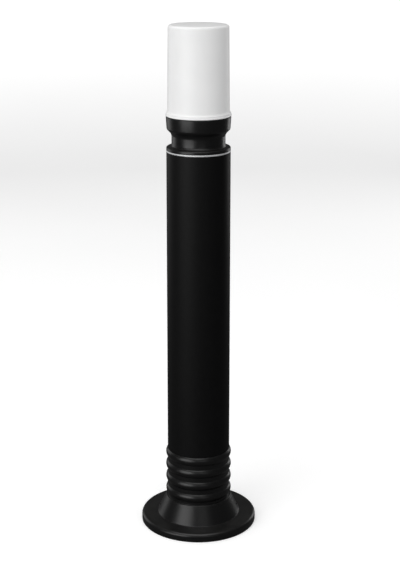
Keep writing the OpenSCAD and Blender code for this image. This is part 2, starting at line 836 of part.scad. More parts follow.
module centre_contact() {
    color(brass) translate([0, 0, plunger_top - plunger_h]) rotate_extrude() {
        square([plunger_r, plunger_h - 0.8]);
        square([plunger_r - 0.8, plunger_h]);
        translate([plunger_r - 0.8, plunger_h - 0.8]) circle(r = 0.8, $fn = 24);
    }
}

// ---------- lock ring, seal and diffuser ----------

module lock_ring() {
    web_in_r = lock_web_r - lock_web_wall;
    color(ivory) difference() {
        union() {
            translate([0, 0, ledge_z]) difference() {
                union() {
                    cylinder(r = lock_flange_r, h = lock_foot_h);
                    cylinder(r = lock_web_r, h = lock_flange_z + lock_flange_h - ledge_z);
                    translate([0, 0, lock_flange_z - ledge_z]) cylinder(r = lock_flange_r, h = lock_flange_h);
                }
                translate([0, 0, -1]) cylinder(r = web_in_r, h = 20);
            }
            intersection() {
                at_ears() translate([0, 0, ledge_z]) {
                    cylinder(r = 3.6, h = lock_foot_h);
                    translate([0, -3.6, 0]) cube([6, 7.2, lock_foot_h]);
                }
                translate([0, 0, ledge_z]) cylinder(r = web_in_r + 0.5, h = lock_foot_h);
            }
            for (a = [0, 120, 240]) {
                stop = a + lug_angle / 2 + lock_turn + 1;
                translate([0, 0, ledge_z + 1])
                    sector(lock_web_r - 0.5, lock_flange_r, stop, stop + stop_angle, lock_flange_z - ledge_z);
            }
        }
        for (a = [0, 120, 240]) translate([0, 0, lock_flange_z - 0.5])
            sector(
                lock_web_r + 0.2, lock_flange_r + 1,
                a - lug_angle / 2 - lug_play, a + lug_angle / 2 + lug_play, lock_flange_h + 1
            );
        at_ears() translate([0, 0, ledge_z - 1]) cylinder(r = ear_screw_r + pass_gap / 2, h = 5, $fn = 32);
    }
}

module lock_ring_screws() {
    color(zinc) at_ears() translate([0, 0, ledge_z + lock_foot_h]) screw(ear_screw_r, 10, 2.8, 2);
}

module diffuser_seal() {
    color(rubber) translate([0, 0, collar_top + 0.05]) difference() {
        cylinder(r = rim_r - 0.4, h = seal_t);
        translate([0, 0, -1]) cylinder(r = skirt_r + 0.2, h = seal_t + 2);
    }
}

module diffuser_outline() {
    lip_r = rim_r + 0.4;
    lip_t = 1.6;
    step_r = lip_r - 0.7;
    step_z = lip_t + 1;
    flare_r = 4;
    flare_z = 6.8;
    cup_r = rim_r - 1.9;
    cup_top_r = cup_r - diffuser_taper;
    edge = 0.4;
    polygon([
        [0, 0], [lip_r - edge, 0], [lip_r, edge], [lip_r, lip_t - edge], [lip_r - edge, lip_t], [step_r, lip_t],
        [step_r, step_z], [0, step_z]
    ]);
    difference() {
        translate([0, step_z - eps]) square([step_r, flare_z - step_z]);
        translate([cup_r + flare_r, flare_z]) circle(r = flare_r);
    }
    polygon([
        [0, flare_z - 1], [cup_r, flare_z - 1], [cup_r, flare_z],
        [cup_top_r, diffuser_h - diffuser_round], [cup_top_r - diffuser_round, diffuser_h], [0, diffuser_h]
    ]);
    translate([cup_top_r - diffuser_round, diffuser_h - diffuser_round]) circle(r = diffuser_round);
    translate([0, -skirt_h]) square([skirt_r, skirt_h + eps]);
}

module diffuser_hollow() {
    round_r = max(0.5, diffuser_round - diffuser_wall);
    top_r = skirt_in_r - diffuser_taper;
    top_z = diffuser_h - diffuser_wall;
    polygon([
        [0, -skirt_h - 1], [skirt_in_r, -skirt_h - 1], [skirt_in_r, 4],
        [top_r, top_z - round_r], [top_r - round_r, top_z], [0, top_z]
    ]);
    translate([top_r - round_r, top_z - round_r]) circle(r = round_r, $fn = 32);
}

module diffuser() {
    color(opal) {
        translate([0, 0, lip_bottom]) rotate_extrude() difference() {
            diffuser_outline();
            diffuser_hollow();
        }
        for (a = [0, 120, 240]) translate([0, 0, lug_bottom])
            sector(lug_in_r, skirt_in_r + 0.5, a - lug_angle / 2, a + lug_angle / 2, lug_h);
    }
}

// ---------- lamp ----------

module lamp_contact() {
    color(bright) translate([0, 0, tip_z]) cylinder(r1 = 4, r2 = 5, h = 1.2);
}

module lamp_insulator() {
    color(rubber) translate([0, 0, tip_z + 1.2])
        cylinder(r1 = 5.4, r2 = cap_r - cap_thread, h = cap_bottom - tip_z - 1.2);
}

module lamp_cap() {
    color(bright) translate([0, 0, cap_bottom]) rotate_extrude() difference() {
        thread_rings(cap_r, cap_thread, cap_h);
        translate([0, 0.4]) square([cap_r - cap_thread - 0.4, cap_h]);
    }
}

module lamp_body() {
    foot = cap_h - 6;
    neck_r = cap_r - cap_thread - 0.45;
    color(opal) rotate_extrude() difference() {
        union() {
            translate([0, cap_bottom + foot]) square([neck_r, cap_top - cap_bottom - foot + 1]);
            polygon([
                [0, cap_top + 0.05], [cap_r + 1.3, cap_top + 0.05], [globe_cut_r + 0.6, globe_cut_z],
                [0, globe_cut_z]
            ]);
        }
        polygon([
            [0, cap_bottom + foot - 1], [neck_r - 1.4, cap_bottom + foot - 1], [neck_r - 1.4, cap_top + 1],
            [globe_cut_r - 2.4, globe_cut_z - 3], [0, globe_cut_z - 3]
        ]);
    }
}

module lamp_board() {
    color(bright) translate([0, 0, globe_cut_z]) cylinder(r = globe_cut_r - globe_wall - 1, h = 1.5);
}

module lamp_leds() {
    color("khaki") for (a = [0:45:315]) rotate([0, 0, a])
        translate([globe_cut_r * 0.55, -1.75, globe_cut_z + 1.5]) cube([3.5, 3.5, 0.8]);
}

module lamp_globe() {
    color(opal) translate([0, 0, globe_z]) difference() {
        sphere(r = globe_r);
        sphere(r = globe_r - globe_wall);
        translate([0, 0, globe_cut_z - globe_z - globe_d]) cylinder(r = globe_d, h = globe_d);
    }
}

ground_plate();
wiring_bracket();
bracket_screws();
terminal_block();
terminal_screws();
block_screws();
cable_clamp();
clamp_screws();
base_casting();
plate_set_screws();
gland_body();
gland_locknut();
gland_seal();
gland_nut();
tie_rods();
rod_washers();
rod_nuts();
lower_tube_seal();
tube();
upper_tube_seal();
trim_ring();
collar();
lead_grommet();
inner_lead();
live_core();
neutral_core();
earth_core();
earth_lug();
earth_screw();
holder_bracket();
holder_bracket_screws();
lampholder_body();
lampholder_screws();
lampholder_shell();
contact_spring();
centre_contact();
lock_ring();
lock_ring_screws();
diffuser_seal();
diffuser();
lamp_contact();
lamp_insulator();
lamp_cap();
lamp_body();
lamp_board();
lamp_leds();
lamp_globe();
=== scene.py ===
import json
import math

import bmesh
import bpy
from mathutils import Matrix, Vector

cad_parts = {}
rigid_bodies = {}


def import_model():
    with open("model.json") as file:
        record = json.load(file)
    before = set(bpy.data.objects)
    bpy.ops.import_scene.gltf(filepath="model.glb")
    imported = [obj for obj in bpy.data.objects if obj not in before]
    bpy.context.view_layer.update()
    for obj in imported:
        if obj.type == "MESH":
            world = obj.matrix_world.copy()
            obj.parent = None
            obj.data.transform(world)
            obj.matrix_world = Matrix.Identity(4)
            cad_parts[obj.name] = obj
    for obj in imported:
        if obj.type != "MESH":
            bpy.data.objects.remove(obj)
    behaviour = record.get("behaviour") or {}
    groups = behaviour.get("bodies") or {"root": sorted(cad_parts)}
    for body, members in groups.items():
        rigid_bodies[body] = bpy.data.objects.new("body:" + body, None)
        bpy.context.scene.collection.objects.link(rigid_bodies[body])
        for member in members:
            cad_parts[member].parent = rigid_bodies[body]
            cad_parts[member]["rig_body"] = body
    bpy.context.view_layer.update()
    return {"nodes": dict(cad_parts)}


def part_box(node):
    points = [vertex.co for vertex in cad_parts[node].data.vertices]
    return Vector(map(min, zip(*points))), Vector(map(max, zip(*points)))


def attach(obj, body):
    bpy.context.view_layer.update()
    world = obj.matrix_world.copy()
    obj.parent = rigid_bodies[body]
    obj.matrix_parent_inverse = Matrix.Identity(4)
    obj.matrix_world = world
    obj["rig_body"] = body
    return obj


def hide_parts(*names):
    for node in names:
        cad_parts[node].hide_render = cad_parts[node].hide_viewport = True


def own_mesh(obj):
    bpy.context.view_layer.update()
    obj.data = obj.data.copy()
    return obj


bl_info = {
    "name": "Garden bollard light",
    "version": (1, 0, 0),
    "blender": (4, 5, 0),
    "location": "View3D > Sidebar > Bollard",
    "description": "Models and finishes a garden bollard light round its CAD frame",
    "category": "Object",
}

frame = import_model()

MM = 0.001
MERGE = 0.0005 * MM     # points of a new piece closer than this are one point
MERGE_CAD = 0.002 * MM  # points of a CAD node's loose triangles closer than this are one point
SUNK = 0.01 * MM        # keeps two faces that would lie in one plane apart
AROUND = 144            # faces round a turned piece
ARC_STEP = math.radians(9)


def reach(node):
    """Outer radius, lowest and highest point of a round CAD node."""
    low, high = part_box(node)
    return high.x, low.z, high.z


TUBE_R, TUBE_LOW, TUBE_HIGH = reach("tube")
FLANGE_R, _, BASE_SPIGOT_TOP = reach("base_casting")
RIM_R, COLLAR_SPIGOT_LOW, COLLAR_TOP = reach("collar")
RING_R, RING_LOW, RING_HIGH = reach("trim_ring")
LIP_R, SKIRT_LOW, LIGHT_TOP = reach("diffuser")
SEAL_HIGH = reach("diffuser_seal")[2]
CAP_R, CAP_LOW, CAP_HIGH = reach("lamp_cap")
GLOBE_R, GLOBE_LOW, GLOBE_HIGH = reach("lamp_globe")
RODS_LOW, RODS_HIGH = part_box("tie_rods")
ROD_CIRCLE = 2 * (RODS_HIGH.y + RODS_LOW.y)      # three rods, one of them on +Y
ROD_BEARINGS = [math.radians(a) for a in (90, 210, 330)]
EAR_BEARINGS = [math.radians(a) for a in (30, 150, 270)]
SET_SCREWS_LOW, SET_SCREWS_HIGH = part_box("plate_set_screws")


# ---------- settings ----------

def size(name, description, default):
    return bpy.props.FloatProperty(
        name=name, description=description, default=default, min=0, unit="LENGTH", precision=5
    )


def tint(name, description, default):
    return bpy.props.FloatVectorProperty(
        name=name, description=description, default=default, size=3, min=0, max=1, subtype="COLOR"
    )


def share(name, description, default):
    return bpy.props.FloatProperty(
        name=name, description=description, default=default, min=0, max=1, subtype="FACTOR"
    )


def bearing(name, description, default):
    return bpy.props.FloatProperty(
        name=name, description=description, default=math.radians(default), subtype="ANGLE"
    )


def number(name, description, default, unit="NONE"):
    return bpy.props.FloatProperty(name=name, description=description, default=default, unit=unit)


class BaseSizes(bpy.types.PropertyGroup):
    """Sizes of the base casting and the post"""

    flange_height: size("Flange height", "Height of the flange rim", 10 * MM)
    flange_round: size("Flange round", "Radius rolled over the flange's top edge", 4 * MM)
    flange_ledge: size("Flange ledge", "Width of the step between rim and cone", 20 * MM)
    flange_crown: size("Flange crown", "Rise of the flange's top from rim to cone", 0.4 * MM)
    foot_fillet: size("Foot fillet", "Hollow radius where the cone meets the flange", 0.9 * MM)
    cone_top: size("Cone top", "Height of the cone's top edge", 32.5 * MM)
    cone_step: size("Cone step", "How far the cone's top edge stands out from the neck", 2 * MM)
    cast_edge: size("Cast edge", "Radius of the casting's outer edges", 0.7 * MM)
    wall: size("Wall", "Wall of the casting", 3.6 * MM)
    cone_cavity: size("Cone cavity", "From the cone's top up to where its hollow becomes straight", 2 * MM)
    bead_count: bpy.props.IntProperty(
        name="Beads", description="Raised beads round the neck", default=4, min=1
    )
    bead_pitch: size("Bead pitch", "Distance between two beads", 16 * MM)
    bead_proud: size("Bead height", "How far a bead stands out", 2.2 * MM)
    bead_half: size("Half bead", "Half the height of a bead at the neck", 5.2 * MM)
    groove_depth: size("Groove depth", "Depth of the groove under the flange", 6 * MM)
    groove_in: size("Groove inner wall", "From the cone's foot to the groove", 0.5 * MM)
    groove_out: size("Groove outer wall", "Wall between groove and rim", 4.5 * MM)
    rib_width: size("Rib width", "Width of a rib across the groove", 4 * MM)
    rib_lift: size("Rib lift", "How far a rib's foot stays off the ground", 0.2 * MM)
    rib_count: bpy.props.IntProperty(
        name="Ribs", description="Ribs across the groove", default=8, min=1
    )
    bulkhead: size("Bulkhead", "Thickness of the bulkhead", 5 * MM)
    bulkhead_drop: size("Bulkhead drop", "From the shoulder down to the bulkhead", 1.2 * MM)
    gland_hole: size("Gland hole", "Radius of the hole for the cable gland", 8.3 * MM)
    rod_hole: size("Rod hole", "Radius of a tie rod's hole", 2.8 * MM)
    boss: size("Set screw boss", "Radius of the boss round a set screw", 5 * MM)
    boss_gap: size("Boss gap", "Between a plate's tab and the boss in front of it", 1.4 * MM)
    boss_depth: size("Boss depth", "Length of the boss, sunk into the cone", 4.5 * MM)
    set_screw: size("Set screw", "Length of a set screw", 8 * MM)
    set_screw_gap: size("Set screw gap", "Clearance round a set screw", 0.05 * MM)
    tube_wall: size("Tube wall", "Wall of the post tube", 2.5 * MM)
    tube_edge: size("Tube edge", "Radius of the tube's cut edges", 0.5 * MM)
    spigot_gap: size("Spigot gap", "Clearance of a spigot in the tube", 0.15 * MM)
    spigot_wall: size("Spigot wall", "Wall of a spigot", 3 * MM)
    seal_groove: size("Seal groove", "Depth of an O-ring groove", 2.4 * MM)
    seal_groove_height: size("Seal groove height", "Height of an O-ring groove", 3.2 * MM)
    seal_groove_place: size("Seal groove place", "From the spigot's shoulder to its groove", 10 * MM)


class CollarSizes(bpy.types.PropertyGroup):
    """Sizes of the collar and the trim ring"""

    lip: size("Lip", "Height of the collar's lower lip", 4 * MM)
    waist: size("Waist", "Depth of the waist below the tube's surface", 6.2 * MM)
    waist_wall: size("Waist wall", "Wall round the waist", 3.2 * MM)
    lip_round: size("Lip round", "Radius over the lip's top edge", 1.4 * MM)
    lip_fillet: size("Lip fillet", "Hollow corner above the lip", 4 * MM)
    sweep: size("Sweep", "Hollow sweep out of the waist", 8 * MM)
    sweep_start: size("Sweep start", "Height at which the sweep leaves the waist", 16 * MM)
    shoulder: size("Shoulder", "Round corner under the band", 4 * MM)
    band_draft: size("Band draft", "How far the band leans out to its top edge", 0.93 * MM)
    edge: size("Edge", "Radius of the collar's edges", 0.5 * MM)
    mouth_wall: size("Mouth wall", "Wall round the diffuser's seat", 2.3 * MM)
    ledge: size("Ledge", "Depth of the lock ring's ledge", 11.2 * MM)
    ledge_corner: size("Ledge corner", "Hollow corner on the ledge", 1.6 * MM)
    deck: size("Deck", "Thickness of the deck", 5 * MM)
    lead_hole: size("Lead hole", "Radius of the hole for the lead's grommet", 6.45 * MM)
    ear_circle: size("Ear circle", "Radius of the circle of the lock ring's screws", 25.5 * MM)
    ear: size("Ear", "Radius of a screw boss", 4.2 * MM)
    ear_height: size("Ear height", "Height of a screw boss", 14 * MM)
    rod_boss: size("Rod boss", "Radius of a tie rod's boss", 5.5 * MM)
    rod_boss_height: size("Rod boss height", "Height of a tie rod's boss", 13 * MM)
    rod_thread: size("Rod thread", "How much tighter a rod's threaded hole is than its free hole", 0.25 * MM)
    rod_stop: size("Rod stop", "How far a threaded hole goes into the deck", 3.5 * MM)
    ear_web: size("Ear web", "How deep an ear's web sits in the waist's wall", 0.8 * MM)
    ear_hole: size("Ear hole", "Radius of a lock ring screw's hole", 1.55 * MM)
    ear_hole_depth: size("Ear hole depth", "Depth of a lock ring screw's hole", 11 * MM)
    ring_edge: size("Ring edge", "Radius of the trim ring's outer edges", 0.85 * MM)


class DiffuserSizes(bpy.types.PropertyGroup):
    """Sizes of the diffuser"""

    wall: size("Wall", "Wall of the cup", 2.4 * MM)
    lip: size("Lip", "Thickness of the lip", 1.6 * MM)
    lip_edge: size("Lip edge", "Radius of the lip's edges", 0.45 * MM)
    step: size("Step", "How far the step above the lip goes in", 0.7 * MM)
    step_height: size("Step height", "Height of the step above the lip", 1 * MM)
    flare: size("Flare", "Hollow flare between step and cup", 4 * MM)
    flare_top: size("Flare top", "Height at which the cup begins", 6.8 * MM)
    cup_inset: size("Cup inset", "From the collar's rim in to the foot of the cup", 1.9 * MM)
    taper: size("Taper", "How far the cup narrows to its top", 0.9 * MM)
    top_round: size("Top round", "Radius of the cup's top edge", 3 * MM)
    seal_gap: size("Seal gap", "Between the seal and the lip on it", 0.05 * MM)
    skirt_top: size("Skirt top", "Height at which the inside begins to narrow", 4 * MM)
    skirt_gap: size("Skirt gap", "Clearance of the skirt in the collar", 0.3 * MM)
    skirt_wall: size("Skirt wall", "Wall of the skirt", 1.7 * MM)
    lug_height: size("Lug height", "Height of a locking lug", 2.5 * MM)
    lug_reach: size("Lug reach", "How far a lug reaches in", 2.7 * MM)
    lug_half: bearing("Half lug", "Half the angle of a lug", 12)


class LampSizes(bpy.types.PropertyGroup):
    """Sizes of the lamp and its wiring"""

    pitch: size("Thread pitch", "Pitch of the lamp's thread", 3.6 * MM)
    thread: size("Thread depth", "Depth of the lamp's thread", 0.9 * MM)
    cap_wall: size("Cap wall", "Wall of the cap", 0.4 * MM)
    globe_wall: size("Globe wall", "Wall of the globe", 1 * MM)
    globe_edge: size("Globe edge", "Radius of the globe's rim", 0.3 * MM)
    contact_travel: size("Contact travel", "How far the contact's spring gives way", 1.22 * MM)


class Finishes(bpy.types.PropertyGroup):
    """Colours and surface of the finishes"""

    coat: tint("Coat", "Black powder coat", (0.0018, 0.0018, 0.0019))
    coat_bloom: tint("Coat bloom", "Lighter speckle of the coat", (0.0045, 0.0045, 0.0047))
    coat_edge: tint("Coat edge", "Coat drawn thin on an edge", (0.02, 0.02, 0.0205))
    coat_roughness: share("Coat roughness", "Roughness of the coat on the castings", 0.3)
    tube_roughness: share("Tube roughness", "Roughness of the coat on the post", 0.5)
    dust: tint("Dust", "Fine dust on upward faces", (0.32, 0.31, 0.29))
    opal: tint("Opal", "Opal plastic of the diffuser", (0.84, 0.84, 0.838))
    opal_shade: tint("Opal shade", "Denser cloud in the opal", (0.805, 0.806, 0.805))
    opal_roughness: share("Opal roughness", "Roughness of the opal plastic", 0.42)
    aluminium: tint("Aluminium", "Bright turned aluminium", (0.78, 0.785, 0.79))
    zinc: tint("Zinc", "Zinc plate", (0.58, 0.60, 0.62))
    zinc_dull: tint("Dull zinc", "Patches of duller zinc", (0.42, 0.43, 0.445))
    nickel: tint("Nickel", "Nickel plate", (0.66, 0.63, 0.58))
    brass: tint("Brass", "Brass", (0.76, 0.56, 0.26))
    brass_dull: tint("Tarnished brass", "Tarnish on the brass", (0.48, 0.33, 0.15))
    rubber: tint("Rubber", "Black rubber", (0.018, 0.018, 0.018))
    nylon: tint("Nylon", "Black nylon", (0.02, 0.02, 0.022))
    ivory: tint("Ivory nylon", "Natural nylon", (0.78, 0.75, 0.66))
    porcelain: tint("Porcelain", "Glazed porcelain", (0.82, 0.81, 0.77))
    lamp_white: tint("Lamp white", "White plastic of the lamp", (0.84, 0.84, 0.83))
    live: tint("Live core", "Brown insulation", (0.13, 0.05, 0.02))
    neutral: tint("Neutral core", "Blue insulation", (0.02, 0.10, 0.42))
    earth: tint("Earth core", "Green insulation", (0.05, 0.30, 0.05))
    earth_stripe: tint("Earth stripe", "Yellow stripe of the earth core", (0.78, 0.66, 0.04))
    phosphor: tint("Phosphor", "Phosphor of the LEDs", (0.85, 0.66, 0.12))


class Studio(bpy.types.PropertyGroup):
    """Camera, floor and lights"""

    camera_back: size("Camera distance", "From the light's axis to the camera", 1.532)
    camera_height: size("Camera height", "Height of the camera", 0.755)
    camera_pitch: bearing("Camera pitch", "How far the camera looks down", 12.77)
    lens: number("Lens", "Focal length", 83.5, "CAMERA")
    rise: number("Rise", "Vertical lens shift", -0.15)
    slide: number("Slide", "Sideways lens shift", 0.0026)
    floor: tint("Floor", "Pale floor", (0.90, 0.90, 0.90))
    floor_glow: number("Floor glow", "Light that the floor gives off", 0.28)
    cove_glow: number("Cove glow", "Light that the cove gives off", 1.0)
    cove_round: size("Cove round", "Radius between floor and cove", 1.2)
    floor_reach: size("Floor reach", "Radius of the floor", 3.4)
    cove: size("Cove", "Height of the cove round the floor", 2.6)
    surround: tint("Surround", "Light of the room", (1, 1, 1))
    surround_strength: number("Room light", "Strength of the room's light", 0.48)
    reflected: number("Reflected room", "Strength of the room seen in gloss", 0.08)
    aim: size("Aim", "Height on the post at which a high light is aimed", 0.35)


# ---------- modelling ----------

def deselect():
    if bpy.context.object and bpy.context.object.mode != "OBJECT":
        bpy.ops.object.mode_set(mode="OBJECT")
    bpy.ops.object.select_all(action="DESELECT")


def pick(piece):
    """Makes one object the only selected one, and the active one."""
    deselect()
    piece.select_set(True)
    bpy.context.view_layer.objects.active = piece


def arc(centre, radius, start, end):
    """Points along an arc, its angles in degrees from outwards towards up."""
    sweep = math.radians(end - start)
    count = max(2, math.ceil(abs(sweep) / ARC_STEP))
    turned = [math.radians(start) + sweep * i / count for i in range(count + 1)]
    return [(centre[0] + radius * math.cos(a), centre[1] + radius * math.sin(a), 0) for a in turned]


def rounded(corners):
    """A closed half-section from corners (radius, height, rounding), each rounded by its own arc."""
    points = []
    for i, (radius, height, rounding) in enumerate(corners):
        here = Vector((radius, height))
        if not rounding:
            points.append(here)
            continue
        back = (Vector(corners[i - 1][:2]) - here).normalized()
        ahead = (Vector(corners[(i + 1) % len(corners)][:2]) - here).normalized()
        half = back.angle(ahead) / 2
        centre = here + (back + ahead).normalized() * (rounding / math.sin(half))
        first = here + back * (rounding / math.tan(half)) - centre
        last = here + ahead * (rounding / math.tan(half)) - centre
        sweep = math.atan2(first.x * last.y - first.y * last.x, first.dot(last))
        count = max(2, math.ceil(abs(sweep) / ARC_STEP))
        for k in range(count + 1):
            a = sweep * k / count
            turned = (
                first.x * math.cos(a) - first.y * math.sin(a),
                first.x * math.sin(a) + first.y * math.cos(a),
            )
            points.append(centre + Vector(turned))
    return points


def trace(name, points, closed=True):
    """Merges a plane to one point, and extrudes that point along a half-section (radius, height)."""
    deselect()
    bpy.ops.mesh.primitive_plane_add(size=MM, location=(points[0][0], 0, points[0][1]))
    bpy.ops.object.transform_apply(location=True, rotation=True, scale=True)
    piece = bpy.context.object
    piece.name = piece.data.name = name
    bpy.ops.object.mode_set(mode="EDIT")
    bpy.ops.mesh.select_mode(type="VERT")
    bpy.ops.mesh.select_all(action="SELECT")
    bpy.ops.mesh.merge(type="CENTER")
    route = list(points) + ([points[0]] if closed else [])
    for here, there in zip(route, route[1:]):
        step = (there[0] - here[0], 0, there[1] - here[1])
        bpy.ops.mesh.extrude_vertices_move(TRANSFORM_OT_translate={"value": step})
    return piece


def tidy_mesh():
    """In edit mode: closes seams and poles, and turns every face outwards."""
    bpy.ops.mesh.select_all(action="SELECT")
    bpy.ops.mesh.remove_doubles(threshold=MERGE)
    bpy.ops.mesh.delete_loose(use_verts=True, use_edges=True, use_faces=False)
    bpy.ops.mesh.select_all(action="SELECT")
    bpy.ops.mesh.normals_make_consistent(inside=False)


def turned(name, points, closed=True, steps=AROUND):
    """A half-section spun once round the upright axis."""
    piece = trace(name, points, closed)
    bpy.ops.mesh.select_all(action="SELECT")
    bpy.ops.mesh.spin(steps=steps, angle=math.tau, center=(0, 0, 0), axis=(0, 0, 1))
    tidy_mesh()
    bpy.ops.object.mode_set(mode="OBJECT")
    return piece


def select_faces(piece, test):
    """In object mode: selects the faces whose centre and normal pass a test."""
    for face in piece.data.polygons:
        face.select = test(face.center, face.normal)
    for edge in piece.data.edges:
        edge.select = False
    for vertex in piece.data.vertices:
        vertex.select = False
    bpy.ops.object.mode_set(mode="EDIT")
    bpy.ops.mesh.select_mode(type="FACE")


def round_bar(radius, low, high, place=(0, 0), across=False, sides=48):
    """A plain cylinder used as a cutter or a boss: upright between two heights, or across between two x."""
    deselect()
    middle = (low + high) / 2
    location = (middle, place[0], place[1]) if across else (place[0], place[1], middle)
    rotation = (0, math.pi / 2, 0) if across else (0, 0, 0)
    bpy.ops.mesh.primitive_cylinder_add(
        vertices=sides, radius=radius, depth=high - low, location=location, rotation=rotation
    )
    bpy.ops.object.transform_apply(location=True, rotation=True, scale=True)
    return bpy.context.object


def bar(low, high, angle=0):
    """A plain block between two corners, turned about the upright axis, used as a cutter or a rib."""
    deselect()
    middle = (Vector(low) + Vector(high)) / 2
    bpy.ops.mesh.primitive_cube_add(size=1, location=middle, scale=Vector(high) - Vector(low))
    bpy.ops.object.transform_apply(location=True, rotation=True, scale=True)
    block = bpy.context.object
    block.rotation_euler.z = angle
    bpy.ops.object.transform_apply(location=True, rotation=True, scale=True)
    return block


def modify(piece, kind, **values):
    """Adds a modifier to the active piece, sets it up and applies it."""
    bpy.ops.object.modifier_add(type=kind)
    modifier = piece.modifiers[-1]
    for key, value in values.items():
        setattr(modifier, key, value)
    bpy.ops.object.modifier_apply(modifier=modifier.name)


def combine(piece, tools, operation):
    """Joins tools to a piece or cuts them out of it, and removes them."""
    for tool in tools:
        pick(piece)
        modify(piece, "BOOLEAN", object=tool, operation=operation, solver="EXACT")
        bpy.data.objects.remove(tool)


def mark_edges(piece, fineness=0.9 * MM):
    """Keeps how sharply the surface turns outwards at each point, for wear on the edges."""
    mesh = bmesh.new()
    mesh.from_mesh(piece.data)
    worn = [0.0] * len(mesh.verts)
    mesh.verts.index_update()
    for edge in mesh.edges:
        if len(edge.link_faces) != 2:
            continue
        turn = edge.calc_face_angle_signed(0)
        length = max(edge.calc_length(), 1e-7)
        apart = max(sum(face.calc_area() / length for face in edge.link_faces) / 2, 1e-6)
        bend = min(1, max(0, turn) * fineness / min(apart, fineness))
        for vertex in edge.verts:
            worn[vertex.index] = max(worn[vertex.index], bend)
    mesh.free()
    layer = piece.data.attributes.new("edge", "FLOAT", "POINT")
    layer.data.foreach_set("value", worn)


def finish_piece(piece, node, material, smooth=35):
    """Shades a new piece, gives it its finish and puts it in the CAD node's place."""
    pick(piece)
    bpy.ops.object.shade_smooth_by_angle(angle=math.radians(smooth))
    mark_edges(piece)
    piece.data.materials.clear()
    piece.data.materials.append(material)
    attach(piece, frame["nodes"][node]["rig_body"])
    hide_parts(node)
    return piece


def merged_copy(node, name):
    """A copy of a CAD node's mesh with its loose triangles merged and its flat faces whole again."""
    deselect()
    source = frame["nodes"][node]
    piece = bpy.data.objects.new(name, source.data.copy())
    piece.data.name = name
    bpy.context.scene.collection.objects.link(piece)
    pick(piece)
    bpy.ops.object.mode_set(mode="EDIT")
    bpy.ops.mesh.select_mode(type="VERT")
    bpy.ops.mesh.select_all(action="SELECT")
    bpy.ops.mesh.remove_doubles(threshold=MERGE_CAD)
    bpy.ops.mesh.customdata_custom_splitnormals_clear()
    return piece


def eased(node, name, width, segments=2):
    """A copy of a CAD node with its edges eased, as moulding, pressing or plating leaves them."""
    piece = merged_copy(node, name)
    bpy.ops.mesh.dissolve_limited(angle_limit=math.radians(0.5))
    bpy.ops.object.mode_set(mode="OBJECT")
    modify(
        piece, "BEVEL", width=width, segments=segments, limit_method="ANGLE",
        angle_limit=math.radians(40), use_clamp_overlap=True, miter_outer="MITER_ARC",
    )
    return piece


def smoothed(node, name):
    """A copy of a CAD strand with its sides made round and its ends kept flat."""
    piece = merged_copy(node, name)
    bpy.ops.mesh.tris_convert_to_quads(face_threshold=math.radians(40), shape_threshold=math.radians(60))
    bpy.ops.object.mode_set(mode="OBJECT")
    mesh = bmesh.new()
    mesh.from_mesh(piece.data)
    crease = mesh.edges.layers.float.new("crease_edge")
    for edge in mesh.edges:
        edge[crease] = 1.0 if edge.calc_face_angle(0) > math.radians(60) else 0.0
    mesh.to_mesh(piece.data)
    mesh.free()
    modify(piece, "SUBSURF", levels=2, render_levels=2)
    return piece


# ---------- finishes ----------

def add(tree, kind, inputs=None, **settings):
    """Adds a node, sets it up, and links or fills its inputs."""
    node = tree.nodes.new(kind)
    for key, value in settings.items():
        setattr(node, key, value)
    for socket, value in (inputs or {}).items():
        if isinstance(value, bpy.types.NodeSocket):
            tree.links.new(value, node.inputs[socket])
        else:
            node.inputs[socket].default_value = value
    return node


def new_group(name, inputs, outputs):
    """A shader node group with named number inputs (name, default) and outputs (name, socket type)."""
    group = bpy.data.node_groups.new(name, "ShaderNodeTree")
    for label, default in inputs:
        socket = group.interface.new_socket(name=label, in_out="INPUT", socket_type="NodeSocketFloat")
        socket.default_value = default
    for label, kind in outputs:
        group.interface.new_socket(name=label, in_out="OUTPUT", socket_type=kind)
    return group, group.nodes.new("NodeGroupInput"), group.nodes.new("NodeGroupOutput")


def math_node(tree, operation, first, second, clamp=False):
    node = add(tree, "ShaderNodeMath", {0: first, 1: second}, operation=operation, use_clamp=clamp)
    return node.outputs[0]


def noise(tree, vector, scale, detail=2.0, roughness=0.5):
    node = add(
        tree, "ShaderNodeTexNoise",
        {"Vector": vector, "Scale": scale, "Detail": detail, "Roughness": roughness},
    )
    return node.outputs["Fac"]


def span(tree, value, low, high, out_low=0.0, out_high=1.0):
    """Stretches a value from one span to another, held within it."""
    node = add(
        tree, "ShaderNodeMapRange",
        {"Value": value, "From Min": low, "From Max": high, "To Min": out_low, "To Max": out_high},
    )
    return node.outputs["Result"]


def blend_colours(tree, mask, first, second):
    node = add(tree, "ShaderNodeMix", {"Factor": mask}, data_type="RGBA")
    for socket, value in ((node.inputs[6], first), (node.inputs[7], second)):
        if isinstance(value, bpy.types.NodeSocket):
            tree.links.new(value, socket)
        else:
            socket.default_value = (*value, 1)
    return node.outputs[2]


def grain_group():
    """Fine grain over a slow ripple, as powder coat, cast and moulded skins have."""
    group, given, out = new_group(
        "Surface grain",
        [("Fine Scale", 2200.0), ("Ripple Scale", 260.0), ("Ripple Share", 0.4)],
        [("Height", "NodeSocketFloat"), ("Speckle", "NodeSocketFloat")],
    )
    place = add(group, "ShaderNodeTexCoord").outputs["Object"]
    fine = noise(group, place, given.outputs["Fine Scale"], 3.0, 0.6)
    ripple = noise(group, place, given.outputs["Ripple Scale"], 1.0)
    rest = math_node(group, "SUBTRACT", 1.0, given.outputs["Ripple Share"])
    high = math_node(
        group, "ADD",
        math_node(group, "MULTIPLY", fine, rest),
        math_node(group, "MULTIPLY", ripple, given.outputs["Ripple Share"]),
    )
    group.links.new(high, out.inputs["Height"])
    group.links.new(span(group, fine, 0.42, 0.72), out.inputs["Speckle"])
    return group


